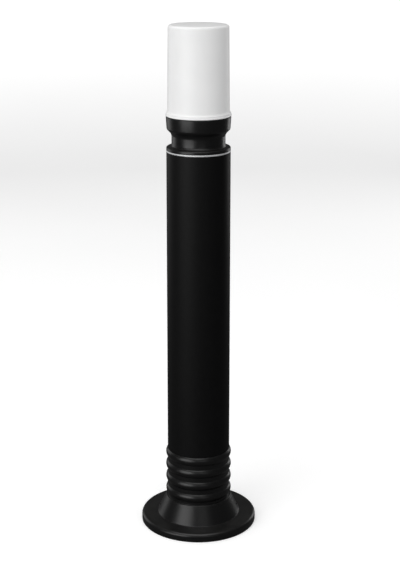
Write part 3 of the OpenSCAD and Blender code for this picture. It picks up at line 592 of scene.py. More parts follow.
def wear_group():
    """Where an edge is rubbed, broken up so that it isn't an even line."""
    group, given, out = new_group(
        "Edge wear", [("Amount", 0.5), ("Patch Scale", 90.0)], [("Mask", "NodeSocketFloat")]
    )
    place = add(group, "ShaderNodeTexCoord").outputs["Object"]
    edge = add(group, "ShaderNodeAttribute", attribute_name="edge").outputs["Fac"]
    patches = span(group, noise(group, place, given.outputs["Patch Scale"], 4.0, 0.6), 0.35, 0.65)
    worn = math_node(group, "MULTIPLY", edge, patches)
    group.links.new(math_node(group, "MULTIPLY", worn, given.outputs["Amount"], True), out.inputs["Mask"])
    return group


def dust_group():
    """Dust that settles on faces that look up."""
    group, given, out = new_group(
        "Settled dust", [("Amount", 0.2), ("Patch Scale", 35.0)], [("Mask", "NodeSocketFloat")]
    )
    place = add(group, "ShaderNodeTexCoord").outputs["Object"]
    normal = add(group, "ShaderNodeNewGeometry").outputs["Normal"]
    up = add(group, "ShaderNodeSeparateXYZ", {0: normal}).outputs["Z"]
    facing = span(group, up, 0.55, 1.0)
    patches = span(group, noise(group, place, given.outputs["Patch Scale"], 5.0, 0.7), 0.3, 0.75)
    settled = math_node(group, "MULTIPLY", facing, patches)
    group.links.new(math_node(group, "MULTIPLY", settled, given.outputs["Amount"], True), out.inputs["Mask"])
    return group


def turning_group():
    """Fine lines round the upright axis, as a lathe tool leaves them."""
    group, given, out = new_group(
        "Turned lines", [("Line Scale", 9000.0)],
        [("Height", "NodeSocketFloat"), ("Mask", "NodeSocketFloat")],
    )
    place = add(group, "ShaderNodeTexCoord").outputs["Object"]
    parts = add(group, "ShaderNodeSeparateXYZ", {0: place})
    flat = add(group, "ShaderNodeCombineXYZ", {0: parts.outputs["X"], 1: parts.outputs["Y"]})
    radius = add(group, "ShaderNodeVectorMath", {0: flat.outputs[0]}, operation="LENGTH").outputs["Value"]
    section = add(group, "ShaderNodeCombineXYZ", {0: radius, 1: parts.outputs["Z"]}).outputs[0]
    lines = noise(group, section, given.outputs["Line Scale"], 2.0)
    group.links.new(lines, out.inputs["Height"])
    group.links.new(span(group, lines, 0.35, 0.7), out.inputs["Mask"])
    return group


def grouped(tree, group, **values):
    node = add(tree, "ShaderNodeGroup", node_tree=group)
    for label, value in values.items():
        node.inputs[label.replace("_", " ").title()].default_value = value
    return node


def new_material(name, display):
    material = bpy.data.materials.new(name)
    material.use_nodes = True
    material.diffuse_color = (*display, 1)
    tree = material.node_tree
    tree.nodes.clear()
    shader = add(tree, "ShaderNodeBsdfPrincipled")
    out = add(tree, "ShaderNodeOutputMaterial")
    tree.links.new(shader.outputs[0], out.inputs["Surface"])
    return material, tree, shader


def bump(tree, shader, height, distance, strength=1.0):
    node = add(tree, "ShaderNodeBump", {"Height": height, "Distance": distance, "Strength": strength})
    tree.links.new(node.outputs[0], shader.inputs["Normal"])


class Palette:
    """The finishes, each made once when it is first asked for."""

    made = {}
    groups = {}

    @classmethod
    def group(cls, name):
        makers = {"grain": grain_group, "wear": wear_group, "dust": dust_group, "turning": turning_group}
        if name not in cls.groups:
            cls.groups[name] = makers[name]()
        return cls.groups[name]

    @classmethod
    def get(cls, slot):
        if slot not in cls.made:
            cls.made[slot] = FINISHES[slot](bpy.context.scene.bollard_finishes)
        return cls.made[slot]


def grained(tree, fine, ripple, share_of_ripple):
    return grouped(
        tree, Palette.group("grain"), fine_scale=fine, ripple_scale=ripple, ripple_share=share_of_ripple
    )


def roughen(tree, shader, mask, low, high):
    """Lets the roughness follow a mask from low to high."""
    tree.links.new(span(tree, mask, 0, 1, low, high), shader.inputs["Roughness"])


def coated(name, roughness_name, reflection):
    """A maker of black powder coats that differ in gloss."""
    def make(f):
        roughness = getattr(f, roughness_name)
        material, tree, shader = new_material(name, f.coat)
        grain = grained(tree, 2600.0, 420.0, 0.35)
        wear = grouped(tree, Palette.group("wear"), amount=0.35, patch_scale=110.0)
        dust = grouped(tree, Palette.group("dust"), amount=0.04, patch_scale=40.0)
        colour = blend_colours(tree, grain.outputs["Speckle"], f.coat, f.coat_bloom)
        colour = blend_colours(tree, wear.outputs["Mask"], colour, f.coat_edge)
        colour = blend_colours(tree, dust.outputs["Mask"], colour, f.dust)
        tree.links.new(colour, shader.inputs["Base Color"])
        roughen(tree, shader, grain.outputs["Speckle"], roughness, roughness + 0.08)
        shader.inputs["Specular IOR Level"].default_value = reflection
        bump(tree, shader, grain.outputs["Height"], 0.00003, 0.4)
        return material
    return make


def opal_plastic(f):
    """Milky moulded plastic that lets light into its wall."""
    material, tree, shader = new_material("opal_diffuser", f.opal)
    place = add(tree, "ShaderNodeTexCoord").outputs["Object"]
    grain = grained(tree, 1500.0, 120.0, 0.7)
    dust = grouped(tree, Palette.group("dust"), amount=0.03, patch_scale=50.0)
    cloud = span(tree, noise(tree, place, 18.0, 3.0), 0.35, 0.7)
    colour = blend_colours(tree, cloud, f.opal, f.opal_shade)
    colour = blend_colours(tree, dust.outputs["Mask"], colour, f.dust)
    tree.links.new(colour, shader.inputs["Base Color"])
    roughen(tree, shader, grain.outputs["Speckle"], f.opal_roughness, f.opal_roughness + 0.06)
    shader.inputs["Subsurface Weight"].default_value = 0.35
    shader.inputs["Subsurface Radius"].default_value = (1.0, 0.98, 0.95)
    shader.inputs["Subsurface Scale"].default_value = 0.004
    shader.inputs["IOR"].default_value = 1.49
    bump(tree, shader, grain.outputs["Height"], 0.000012, 0.4)
    return material


def moulded(name, colour_name, roughness, shade=0.86, fine=1800.0, depth=0.00001, coat=0.0):
    """A maker of moulded plastics, rubbers and glazes that differ in colour and gloss."""
    def make(f):
        base = Vector(getattr(f, colour_name))
        material, tree, shader = new_material(name, base)
        grain = grained(tree, fine, 180.0, 0.5)
        wear = grouped(tree, Palette.group("wear"), amount=0.5, patch_scale=140.0)
        dust = grouped(tree, Palette.group("dust"), amount=0.08, patch_scale=60.0)
        colour = blend_colours(tree, grain.outputs["Speckle"], base, base * shade)
        light = [min(1.0, 1.25 * c + 0.02) for c in base]
        colour = blend_colours(tree, wear.outputs["Mask"], colour, light)
        colour = blend_colours(tree, dust.outputs["Mask"], colour, f.dust)
        tree.links.new(colour, shader.inputs["Base Color"])
        roughen(tree, shader, grain.outputs["Speckle"], roughness, min(1, roughness + 0.12))
        shader.inputs["Coat Weight"].default_value = coat
        shader.inputs["Coat Roughness"].default_value = 0.08
        bump(tree, shader, grain.outputs["Height"], depth, 0.5)
        return material
    return make


def plated(name, colour_name, dull_name, roughness, turned_lines=False, metallic=1.0):
    """A maker of metals: patchy plating or lathe lines, brighter where edges are rubbed."""
    def make(f):
        base, dull = getattr(f, colour_name), getattr(f, dull_name)
        material, tree, shader = new_material(name, base)
        place = add(tree, "ShaderNodeTexCoord").outputs["Object"]
        wear = grouped(tree, Palette.group("wear"), amount=0.7, patch_scale=160.0)
        if turned_lines:
            lines = grouped(tree, Palette.group("turning"), line_scale=9000.0)
            height, mask = lines.outputs["Height"], lines.outputs["Mask"]
        else:
            grain = grained(tree, 1400.0, 150.0, 0.3)
            height = grain.outputs["Height"]
            mask = span(tree, noise(tree, place, 130.0, 5.0, 0.65), 0.38, 0.66)
        colour = blend_colours(tree, mask, base, dull)
        light = [min(1.0, 1.15 * c) for c in base]
        colour = blend_colours(tree, wear.outputs["Mask"], colour, light)
        tree.links.new(colour, shader.inputs["Base Color"])
        roughen(tree, shader, mask, roughness, roughness + 0.14)
        shader.inputs["Metallic"].default_value = metallic
        bump(tree, shader, height, 0.000008, 0.5)
        return material
    return make


def striped_core(f):
    """Green and yellow insulation: two stripes along the core."""
    material, tree, shader = new_material("earth_insulation", f.earth)
    grain = grained(tree, 1800.0, 200.0, 0.4)
    normal = add(tree, "ShaderNodeNewGeometry").outputs["Normal"]
    across = add(tree, "ShaderNodeSeparateXYZ", {0: normal}).outputs["X"]
    stripe = span(tree, across, -0.08, 0.08)
    colour = blend_colours(tree, stripe, f.earth, f.earth_stripe)
    tree.links.new(colour, shader.inputs["Base Color"])
    roughen(tree, shader, grain.outputs["Speckle"], 0.38, 0.5)
    bump(tree, shader, grain.outputs["Height"], 0.00001, 0.4)
    return material


FINISHES = {
    "black_coat": coated("black_powder_coat", "coat_roughness", 0.5),
    "matt_coat": coated("matt_black_powder_coat", "tube_roughness", 0.16),
    "opal_plastic": opal_plastic,
    "bright_aluminium": plated(
        "bright_turned_aluminium", "aluminium", "zinc", 0.4, turned_lines=True, metallic=0.5
    ),
    "zinc_steel": plated("zinc_plate", "zinc", "zinc_dull", 0.3),
    "nickel": plated("nickel_plate", "nickel", "zinc", 0.2),
    "brass": plated("brass", "brass", "brass_dull", 0.26),
    "black_rubber": moulded("black_rubber", "rubber", 0.62, shade=1.6, depth=0.00003),
    "black_nylon": moulded("black_nylon", "nylon", 0.42, shade=1.5),
    "ivory_nylon": moulded("ivory_nylon", "ivory", 0.4, shade=0.93),
    "porcelain": moulded("glazed_porcelain", "porcelain", 0.2, shade=0.95, fine=500.0, coat=0.6),
    "lamp_white": moulded("lamp_white", "lamp_white", 0.34, shade=0.97),
    "brown_core": moulded("brown_insulation", "live", 0.4, shade=0.8),
    "blue_core": moulded("blue_insulation", "neutral", 0.4, shade=0.85),
    "earth_core": striped_core,
    "led_phosphor": moulded("led_phosphor", "phosphor", 0.3, shade=0.9, fine=3000.0, coat=0.4),
}


# ---------- pieces ----------

class PieceOperator:
    bl_options = {"REGISTER", "UNDO"}


class BOLLARD_OT_stage(PieceOperator, bpy.types.Operator):
    """Pale floor with a cove, soft lights and the camera"""

    bl_idname = "bollard.stage"
    bl_label = "Floor, lights and camera"

    def execute(self, context):
        s = context.scene.bollard_studio
        floor = turned(
            "studio_floor",
            [(0, 0)] + rounded([
                (s.floor_reach, 0, s.cove_round), (s.floor_reach + 0.02, s.cove, 0), (0, 0, 0),
            ])[:-1],
            closed=False, steps=96,
        )
        pick(floor)
        bpy.ops.object.mode_set(mode="EDIT")
        bpy.ops.mesh.select_all(action="SELECT")
        bpy.ops.mesh.flip_normals()
        bpy.ops.object.mode_set(mode="OBJECT")
        bpy.ops.object.shade_smooth_by_angle(angle=math.radians(60))
        material, tree, shader = new_material("studio_paper", s.floor)
        place = add(tree, "ShaderNodeTexCoord").outputs["Object"]
        tone = span(tree, noise(tree, place, 3.0, 2.0), 0.3, 0.7)
        pale = [0.985 * c for c in s.floor]
        tree.links.new(blend_colours(tree, tone, s.floor, pale), shader.inputs["Base Color"])
        shader.inputs["Roughness"].default_value = 0.9
        shader.inputs["Specular IOR Level"].default_value = 0.1
        rise = add(tree, "ShaderNodeSeparateXYZ", {0: place}).outputs["Z"]
        glow = span(tree, rise, 0, s.cove / 3, s.floor_glow, s.cove_glow)
        tree.links.new(glow, shader.inputs["Emission Strength"])
        shader.inputs["Emission Color"].default_value = (1, 1, 1, 1)
        floor.data.materials.append(material)
        floor.visible_glossy = False
        floor.visible_diffuse = False

        self.add_lights(context, s)
        self.add_camera(context, s)
        world = bpy.data.worlds.new("room")
        world.use_nodes = True
        sky = world.node_tree.nodes["Background"]
        sky.inputs["Color"].default_value = (*s.surround, 1)
        path = add(world.node_tree, "ShaderNodeLightPath").outputs["Is Glossy Ray"]
        strength = span(world.node_tree, path, 0, 1, s.surround_strength, s.reflected)
        world.node_tree.links.new(strength, sky.inputs["Strength"])
        context.scene.world = world
        context.scene.view_settings.view_transform = "Standard"
        return {"FINISHED"}

    def add_lights(self, context, s):
        """Soft boxes: name, bearing from the camera's side, distance, height, width, tall, power."""
        boxes = [
            ("key_box", -42, 1.9, 0.55, 1.5, 1.2, 15),
            ("front_fill", 14, 2.3, 0.8, 1.2, 0.9, 2.2),
            ("left_back_box", -130, 1.9, 0.6, 1.0, 1.4, 3.6),
            ("right_back_box", 140, 2.1, 0.6, 0.6, 1.4, 4.5),
            ("top_box", -20, 0.7, 2.3, 2.2, 2.2, 25),
        ]
        for name, turn, distance, height, width, tall, power in boxes:
            a = math.radians(turn)
            lamp = bpy.data.lights.new(name, "AREA")
            lamp.shape = "RECTANGLE"
            lamp.size = width
            lamp.size_y = tall
            lamp.energy = power
            box = bpy.data.objects.new(name, lamp)
            context.scene.collection.objects.link(box)
            box.location = (distance * math.sin(a), -distance * math.cos(a), height)
            aim = Vector((0, 0, s.aim if height > 2 * LIGHT_TOP else height))
            box.rotation_euler = (aim - box.location).to_track_quat("-Z", "Y").to_euler()
            box.visible_camera = False

    def add_camera(self, context, s):
        camera = bpy.data.objects.new("camera", bpy.data.cameras.new("camera"))
        context.scene.collection.objects.link(camera)
        camera.location = (0, -s.camera_back, s.camera_height)
        camera.rotation_euler = (math.pi / 2 - s.camera_pitch, 0, 0)
        camera.data.lens = s.lens
        camera.data.shift_y = s.rise
        camera.data.shift_x = s.slide
        camera.data.clip_start = 0.05
        context.scene.camera = camera


class BOLLARD_OT_base(PieceOperator, bpy.types.Operator):
    """Base casting: flange, cone, beaded neck, bulkhead and spigot"""

    bl_idname = "bollard.base"
    bl_label = "Base casting"

    def outline(self, s):
        foot_r = FLANGE_R - s.flange_ledge
        foot_z = s.flange_height + s.flange_crown
        cavity_r = foot_r - s.wall
        neck_in = TUBE_R - s.wall
        spigot_r = TUBE_R - s.tube_wall - s.spigot_gap
        spigot_in = spigot_r - s.spigot_wall
        groove_in = foot_r + s.groove_in
        groove_out = FLANGE_R - s.groove_out
        edge = s.cast_edge
        fine = 0.3 * MM
        bead_round = (s.bead_half ** 2 + s.bead_proud ** 2) / (2 * s.bead_proud)
        swing = math.degrees(math.asin(s.bead_half / bead_round))
        top_bead = TUBE_LOW - s.bead_half
        low = TUBE_LOW - s.bulkhead_drop
        high = low + s.bulkhead
        seat = TUBE_LOW + s.seal_groove_place
        groove_r = spigot_r - s.seal_groove
        corners = [
            (groove_in, 0, fine), (groove_in, s.groove_depth, 3 * fine),
            (groove_out, s.groove_depth, 3 * fine), (groove_out, 0, fine), (FLANGE_R, 0, edge),
            (FLANGE_R, s.flange_height, s.flange_round), (foot_r, foot_z, s.foot_fillet),
            (TUBE_R + s.cone_step, s.cone_top, edge), (TUBE_R, s.cone_top, fine),
        ]
        for i in reversed(range(s.bead_count)):
            middle = (TUBE_R + s.bead_proud - bead_round, top_bead - i * s.bead_pitch)
            corners += arc(middle, bead_round, -swing, swing)
        corners += [
            (spigot_r, TUBE_LOW, 0), (spigot_r, seat, 0), (groove_r, seat, fine),
            (groove_r, seat + s.seal_groove_height, fine), (spigot_r, seat + s.seal_groove_height, 0),
            (spigot_r, BASE_SPIGOT_TOP, edge), (spigot_in, BASE_SPIGOT_TOP, edge),
            (spigot_in, high, 4 * fine), (s.gland_hole, high, fine), (s.gland_hole, low, fine),
            (neck_in, low, 4 * fine), (neck_in, s.cone_top + s.cone_cavity, 4 * fine),
            (cavity_r, foot_z, 4 * fine), (cavity_r, 0, fine),
        ]
        return rounded(corners)

    def execute(self, context):
        s = context.scene.bollard_base
        piece = turned("base_casting_cast", self.outline(s))
        foot_r = FLANGE_R - s.flange_ledge
        ribs = [
            bar(
                (foot_r + s.groove_in - MM, -s.rib_width / 2, s.rib_lift),
                (FLANGE_R - s.groove_out + MM, s.rib_width / 2, s.groove_depth + MM),
                math.tau * (i + 0.5) / s.rib_count,
            )
            for i in range(s.rib_count)
        ]
        combine(piece, ribs, "UNION")
        height = (SET_SCREWS_LOW.z + SET_SCREWS_HIGH.z) / 2
        bore = (SET_SCREWS_HIGH.z - SET_SCREWS_LOW.z) / 2 + s.set_screw_gap
        tab = SET_SCREWS_HIGH.x - s.set_screw
        for side in (-1, 1):
            ends = sorted((side * (tab + s.boss_gap), side * (tab + s.boss_gap + s.boss_depth)))
            combine(piece, [round_bar(s.boss, *ends, (0, height), across=True)], "UNION")
            ends = sorted((side * tab, side * FLANGE_R))
            combine(piece, [round_bar(bore, *ends, (0, height), across=True)], "DIFFERENCE")
        holes = [
            round_bar(
                s.rod_hole, TUBE_LOW - s.bulkhead_drop - MM, TUBE_LOW + s.bulkhead,
                (ROD_CIRCLE * math.cos(a), ROD_CIRCLE * math.sin(a)),
            )
            for a in ROD_BEARINGS
        ]
        combine(piece, holes, "DIFFERENCE")
        finish_piece(piece, "base_casting", Palette.get("black_coat"))
        return {"FINISHED"}


class BOLLARD_OT_tube(PieceOperator, bpy.types.Operator):
    """Post tube with eased ends"""

    bl_idname = "bollard.tube"
    bl_label = "Post tube"

    def execute(self, context):
        s = context.scene.bollard_base
        bore = TUBE_R - s.tube_wall
        fine = 0.2 * MM
        outline = rounded([
            (bore, TUBE_LOW, fine), (TUBE_R, TUBE_LOW, s.tube_edge),
            (TUBE_R, TUBE_HIGH, s.tube_edge), (bore, TUBE_HIGH, fine),
        ])
        piece = turned("post_tube", outline)
        finish_piece(piece, "tube", Palette.get("matt_coat"))
        return {"FINISHED"}


class BOLLARD_OT_trim_ring(PieceOperator, bpy.types.Operator):
    """Bright trim ring with a rounded face"""

    bl_idname = "bollard.trim_ring"
    bl_label = "Trim ring"

    def execute(self, context):
        bore = TUBE_R - context.scene.bollard_base.tube_wall
        edge = context.scene.bollard_collar.ring_edge
        fine = 0.2 * MM
        outline = rounded([
            (bore, RING_LOW, fine), (RING_R, RING_LOW, edge),
            (RING_R, RING_HIGH, edge), (bore, RING_HIGH, fine),
        ])
        piece = turned("bright_trim_ring", outline)
        finish_piece(piece, "trim_ring", Palette.get("bright_aluminium"))
        return {"FINISHED"}


class BOLLARD_OT_collar(PieceOperator, bpy.types.Operator):
    """Spool-shaped collar with its deck, spigot, ears and bosses"""

    bl_idname = "bollard.collar"
    bl_label = "Collar"

    def outline(self, s, base):
        low = RING_HIGH
        waist_r = TUBE_R - s.waist
        band_r = RIM_R - s.band_draft
        sweep_z = low + s.sweep_start + s.sweep * math.tan(math.radians(22.5))
        spigot_r = TUBE_R - base.tube_wall - base.spigot_gap
        spigot_in = spigot_r - base.spigot_wall
        mouth_r = RIM_R - s.mouth_wall
        ledge = COLLAR_TOP - s.ledge
        deck = low + s.deck
        groove = RING_LOW - base.seal_groove_place
        groove_top = groove + base.seal_groove_height
        groove_r = spigot_r - base.seal_groove
        fine = 0.3 * MM
        return rounded([
            (spigot_r, COLLAR_SPIGOT_LOW, s.edge), (spigot_r, groove, 0), (groove_r, groove, fine),
            (groove_r, groove_top, fine), (spigot_r, groove_top, 0),
            (spigot_r, low, 0), (TUBE_R, low, s.edge), (TUBE_R, low + s.lip, s.lip_round),
            (waist_r, low + s.lip, s.lip_fillet), (waist_r, sweep_z, s.sweep),
            (band_r, sweep_z + band_r - waist_r, s.shoulder), (RIM_R, COLLAR_TOP, s.edge),
            (mouth_r, COLLAR_TOP, fine), (mouth_r, ledge, s.ledge_corner),
            (waist_r - s.waist_wall, ledge, fine), (waist_r - s.waist_wall, deck, 4 * fine),
            (s.lead_hole, deck, fine), (s.lead_hole, low, fine), (spigot_in, low, 4 * fine),
            (spigot_in, COLLAR_SPIGOT_LOW, s.edge),
        ])

    def execute(self, context):
        s, base = context.scene.bollard_collar, context.scene.bollard_base
        piece = turned("spool_collar", self.outline(s, base))
        cavity_r = TUBE_R - s.waist - s.waist_wall
        ledge = COLLAR_TOP - s.ledge
        for a in EAR_BEARINGS:
            place = (s.ear_circle * math.cos(a), s.ear_circle * math.sin(a))
            low, high = ledge - s.ear_height, ledge - SUNK
            ear = round_bar(s.ear, low, high, place)
            web = bar((s.ear_circle, -s.ear, low), (cavity_r + s.ear_web, s.ear, high), a)
            combine(ear, [web], "UNION")
            combine(piece, [ear], "UNION")
            hole = round_bar(s.ear_hole, ledge - s.ear_hole_depth, ledge + MM, place, sides=32)
            combine(piece, [hole], "DIFFERENCE")
        for a in ROD_BEARINGS:
            place = (ROD_CIRCLE * math.cos(a), ROD_CIRCLE * math.sin(a))
            low = RING_HIGH - s.rod_boss_height
            combine(piece, [round_bar(s.rod_boss, low, RING_HIGH + 0.2 * MM, place)], "UNION")
            thread_r = base.rod_hole - s.rod_thread
            thread = round_bar(thread_r, low - MM, RING_HIGH + s.rod_stop, place, sides=32)
            combine(piece, [thread], "DIFFERENCE")
        finish_piece(piece, "collar", Palette.get("black_coat"))
        return {"FINISHED"}


class BOLLARD_OT_diffuser(PieceOperator, bpy.types.Operator):
    """Opal diffuser: lip, flare, cup, skirt and three locking lugs"""

    bl_idname = "bollard.diffuser"
    bl_label = "Diffuser"

    def outline(self, s, collar):
        low = SEAL_HIGH + s.seal_gap
        step_r = LIP_R - s.step
        step_z = low + s.lip + s.step_height
        cup_r = RIM_R - s.cup_inset
        top_r = cup_r - s.taper
        skirt_r = RIM_R - collar.mouth_wall - s.skirt_gap
        inner_r = skirt_r - s.skirt_wall
        inner_top_r = inner_r - s.taper
        ceiling = LIGHT_TOP - s.wall
        fine = 0.25 * MM
        flare_centre = (cup_r + s.flare, low + s.flare_top)
        flare_start = 180 + math.degrees(math.acos((flare_centre[0] - step_r) / s.flare))
        outer = rounded([
            (inner_r, SKIRT_LOW, fine), (skirt_r, SKIRT_LOW, fine), (skirt_r, low, fine),
            (LIP_R, low, s.lip_edge), (LIP_R, low + s.lip, s.lip_edge), (step_r, low + s.lip, fine),
            (step_r, step_z, fine), *arc(flare_centre, s.flare, flare_start, 180),
            (top_r, LIGHT_TOP, s.top_round), (0, LIGHT_TOP, 0),
        ])
        inner = rounded([
            (0, ceiling, 0), (inner_top_r, ceiling, fine * 4), (inner_r, low + s.skirt_top, 0),
            (inner_r, SKIRT_LOW + s.lug_height, 0), (inner_r, SKIRT_LOW, 0),
        ])[:-1]
        return outer + inner

    def execute(self, context):
        s, collar = context.scene.bollard_diffuser, context.scene.bollard_collar
        piece = turned("opal_diffuser", self.outline(s, collar), steps=120)
        inner_r = RIM_R - collar.mouth_wall - s.skirt_gap - s.skirt_wall

        def is_lug(centre, normal):
            turn = math.atan2(centre.y, centre.x) % (math.tau / 3)
            near = min(turn, math.tau / 3 - turn) < s.lug_half
            inside = centre.xy.length < inner_r + 0.1 * MM and centre.xy.dot(normal.xy) < 0
            return near and inside and SKIRT_LOW < centre.z < SKIRT_LOW + s.lug_height

        pick(piece)
        select_faces(piece, is_lug)
        bpy.ops.mesh.extrude_region_move(TRANSFORM_OT_translate={"value": (0, 0, 0)})
        inwards = 1 - s.lug_reach / inner_r
        bpy.ops.transform.resize(value=(inwards, inwards, 1), center_override=(0, 0, 0))
        bpy.ops.object.mode_set(mode="OBJECT")
        finish_piece(piece, "diffuser", Palette.get("opal_plastic"), smooth=40)
        return {"FINISHED"}


class BOLLARD_OT_lamp(PieceOperator, bpy.types.Operator):
    """Lamp: threaded cap, white body and milky globe"""

    bl_idname = "bollard.lamp"
    bl_label = "Lamp"

    def cap(self, s):
        """One turn of a rolled thread, carried up by the screw modifier and cut off level at both ends."""
        crest, root = CAP_R, CAP_R - s.thread
        middle, half = (crest + root) / 2, (crest - root) / 2
        swell = [
            (middle + half * math.cos(math.tau * i / 12), CAP_LOW - s.pitch + s.pitch * i / 12)
            for i in range(13)
        ]
        piece = trace("threaded_cap", swell, closed=False)
        bpy.ops.object.mode_set(mode="OBJECT")
        turns = math.ceil((CAP_HIGH - CAP_LOW) / s.pitch) + 2
        modify(
            piece, "SCREW", angle=math.tau, screw_offset=s.pitch, iterations=turns,
            steps=64, render_steps=64,
        )
        pick(piece)
        bpy.ops.object.mode_set(mode="EDIT")
        tidy_mesh()
        for height, up in ((CAP_LOW, -1), (CAP_HIGH, 1)):
            bpy.ops.mesh.select_all(action="SELECT")
            bpy.ops.mesh.bisect(plane_co=(0, 0, height), plane_no=(0, 0, up), clear_outer=True)
        tidy_mesh()
        bpy.ops.object.mode_set(mode="OBJECT")
        modify(piece, "SOLIDIFY", thickness=s.cap_wall, offset=-1)
        return piece

    def globe(self, s):
        """A sphere cut level under its middle, given its wall and a rounded rim."""
        deselect()
        centre = GLOBE_HIGH - GLOBE_R
        bpy.ops.mesh.primitive_uv_sphere_add(
            segments=96, ring_count=48, radius=GLOBE_R, location=(0, 0, centre)
        )
        bpy.ops.object.transform_apply(location=True, rotation=True, scale=True)
        piece = bpy.context.object
        piece.name = piece.data.name = "milky_globe"
        bpy.ops.object.mode_set(mode="EDIT")
        bpy.ops.mesh.select_all(action="SELECT")
        bpy.ops.mesh.bisect(plane_co=(0, 0, GLOBE_LOW), plane_no=(0, 0, 1), clear_inner=True)
        tidy_mesh()
        bpy.ops.object.mode_set(mode="OBJECT")
        modify(piece, "SOLIDIFY", thickness=s.globe_wall, offset=-1)
        modify(
            piece, "BEVEL", width=s.globe_edge, segments=3, limit_method="ANGLE",
            angle_limit=math.radians(50),
        )
        return piece

    def execute(self, context):
        s = context.scene.bollard_lamp
        finish_piece(self.cap(s), "lamp_cap", Palette.get("nickel"), smooth=50)
        finish_piece(self.globe(s), "lamp_globe", Palette.get("lamp_white"))
        body = eased("lamp_body", "white_lamp_body", 0.5 * MM, 3)
        finish_piece(body, "lamp_body", Palette.get("lamp_white"))
        return {"FINISHED"}


class EasedPieces(PieceOperator):
    """Pieces made from their CAD shapes with eased edges: node, piece name, ease in millimetres."""

    pieces = ()

    def execute(self, context):
        for node, name, ease in self.pieces:
            slot = frame["nodes"][node].data.materials[0].name
            finish_piece(eased(node, name, ease * MM), node, Palette.get(slot))
        return {"FINISHED"}


class BOLLARD_OT_mouldings(EasedPieces, bpy.types.Operator):
    """Moulded and pressed-in parts: lock ring, lampholder, terminal block, gland and seals"""

    bl_idname = "bollard.mouldings"
    bl_label = "Mouldings"
    pieces = (
        ("lock_ring", "moulded_lock_ring", 0.25),
        ("lampholder_body", "porcelain_lampholder", 0.5),
        ("terminal_block", "moulded_terminal_block", 0.35),
        ("cable_clamp", "moulded_cable_clamp", 0.5),
        ("gland_body", "moulded_gland_body", 0.35),
        ("gland_locknut", "moulded_gland_locknut", 0.4),
        ("gland_nut", "moulded_gland_nut", 0.4),
        ("gland_seal", "rubber_gland_seal", 0.3),
        ("lead_grommet", "rubber_grommet", 0.5),
        ("diffuser_seal", "rubber_diffuser_seal", 0.2),
    )


class BOLLARD_OT_metalwork(EasedPieces, bpy.types.Operator):
    """Plated plates, brackets, nuts and screws"""

    bl_idname = "bollard.metalwork"
    bl_label = "Metalwork"
    pieces = (
        ("ground_plate", "zinc_ground_plate", 0.3),
        ("wiring_bracket", "zinc_wiring_bracket", 0.25),
        ("holder_bracket", "zinc_holder_bracket", 0.25),
        ("rod_washers", "zinc_rod_washers", 0.15),
        ("rod_nuts", "zinc_rod_nuts", 0.3),
        ("tie_rods", "zinc_tie_rods", 0.4),
        ("plate_set_screws", "zinc_set_screws", 0.25),
        ("bracket_screws", "zinc_bracket_screws", 0.25),
        ("block_screws", "zinc_block_screws", 0.2),
        ("clamp_screws", "zinc_clamp_screws", 0.2),
        ("holder_bracket_screws", "zinc_holder_bracket_screws", 0.25),
        ("lampholder_screws", "zinc_lampholder_screws", 0.2),
        ("lock_ring_screws", "zinc_lock_ring_screws", 0.2),
        ("terminal_screws", "brass_terminal_screws", 0.2),
        ("earth_lug", "tinned_earth_lug", 0.12),
        ("earth_screw", "brass_earth_screw", 0.25),
    )


class BOLLARD_OT_wiring(PieceOperator, bpy.types.Operator):
    """Lead, cores and contact spring with their sides made round"""

    bl_idname = "bollard.wiring"
    bl_label = "Lead, cores and spring"

    def execute(self, context):
        strands = (
            ("inner_lead", "sheathed_lead"), ("live_core", "brown_core"),
            ("neutral_core", "blue_core"), ("earth_core", "striped_core"),
            ("contact_spring", "round_wire_spring"),
        )
        for node, name in strands:
            slot = frame["nodes"][node].data.materials[0].name
            finish_piece(smoothed(node, name), node, Palette.get(slot), smooth=50)
        spring = bpy.data.objects["round_wire_spring"]
        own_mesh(spring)
        return {"FINISHED"}


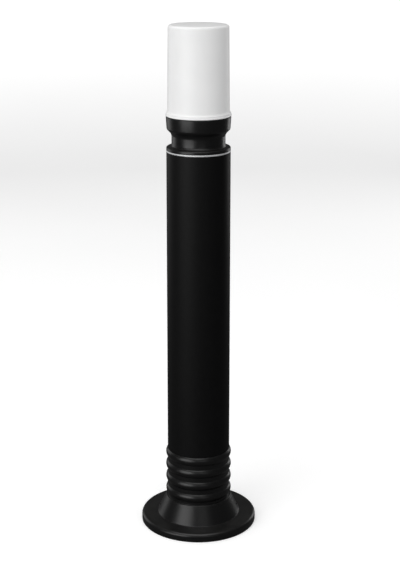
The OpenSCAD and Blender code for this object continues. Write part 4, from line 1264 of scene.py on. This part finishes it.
class BOLLARD_OT_finishes(PieceOperator, bpy.types.Operator):
    """Finishes of the CAD parts that keep their own shape"""

    bl_idname = "bollard.finishes"
    bl_label = "Finishes of the CAD parts"

    def execute(self, context):
        for node, part in frame["nodes"].items():
            if not part.hide_render:
                for place in part.material_slots:
                    place.material = Palette.get(place.material.name)
        return {"FINISHED"}


class BOLLARD_PT_panel(bpy.types.Panel):
    """Sidebar panel of the bollard light"""

    bl_idname = "BOLLARD_PT_panel"
    bl_label = "Bollard light"
    bl_space_type = "VIEW_3D"
    bl_region_type = "UI"
    bl_category = "Bollard"

    def draw(self, context):
        for operator in OPERATORS:
            self.layout.operator(operator.bl_idname)
        for label, group in SETTINGS.items():
            box = self.layout.box()
            box.label(text=group.__doc__)
            settings = getattr(context.scene, label)
            for key in group.__annotations__:
                box.prop(settings, key)


SETTINGS = {
    "bollard_base": BaseSizes, "bollard_collar": CollarSizes, "bollard_diffuser": DiffuserSizes,
    "bollard_lamp": LampSizes, "bollard_finishes": Finishes, "bollard_studio": Studio,
}
OPERATORS = (
    BOLLARD_OT_stage, BOLLARD_OT_base, BOLLARD_OT_tube, BOLLARD_OT_trim_ring, BOLLARD_OT_collar,
    BOLLARD_OT_diffuser, BOLLARD_OT_lamp, BOLLARD_OT_mouldings, BOLLARD_OT_metalwork, BOLLARD_OT_wiring,
    BOLLARD_OT_finishes,
)


def register():
    for cls in (*SETTINGS.values(), *OPERATORS, BOLLARD_PT_panel):
        bpy.utils.register_class(cls)
    for label, group in SETTINGS.items():
        setattr(bpy.types.Scene, label, bpy.props.PointerProperty(type=group))


def unregister():
    for label in SETTINGS:
        delattr(bpy.types.Scene, label)
    for cls in reversed((*SETTINGS.values(), *OPERATORS, BOLLARD_PT_panel)):
        bpy.utils.unregister_class(cls)


def main():
    register()
    bpy.ops.bollard.stage()
    bpy.ops.bollard.base()
    bpy.ops.bollard.tube()
    bpy.ops.bollard.trim_ring()
    bpy.ops.bollard.collar()
    bpy.ops.bollard.diffuser()
    bpy.ops.bollard.lamp()
    bpy.ops.bollard.mouldings()
    bpy.ops.bollard.metalwork()
    bpy.ops.bollard.wiring()
    bpy.ops.bollard.finishes()


if __name__ == "__main__":
    main()
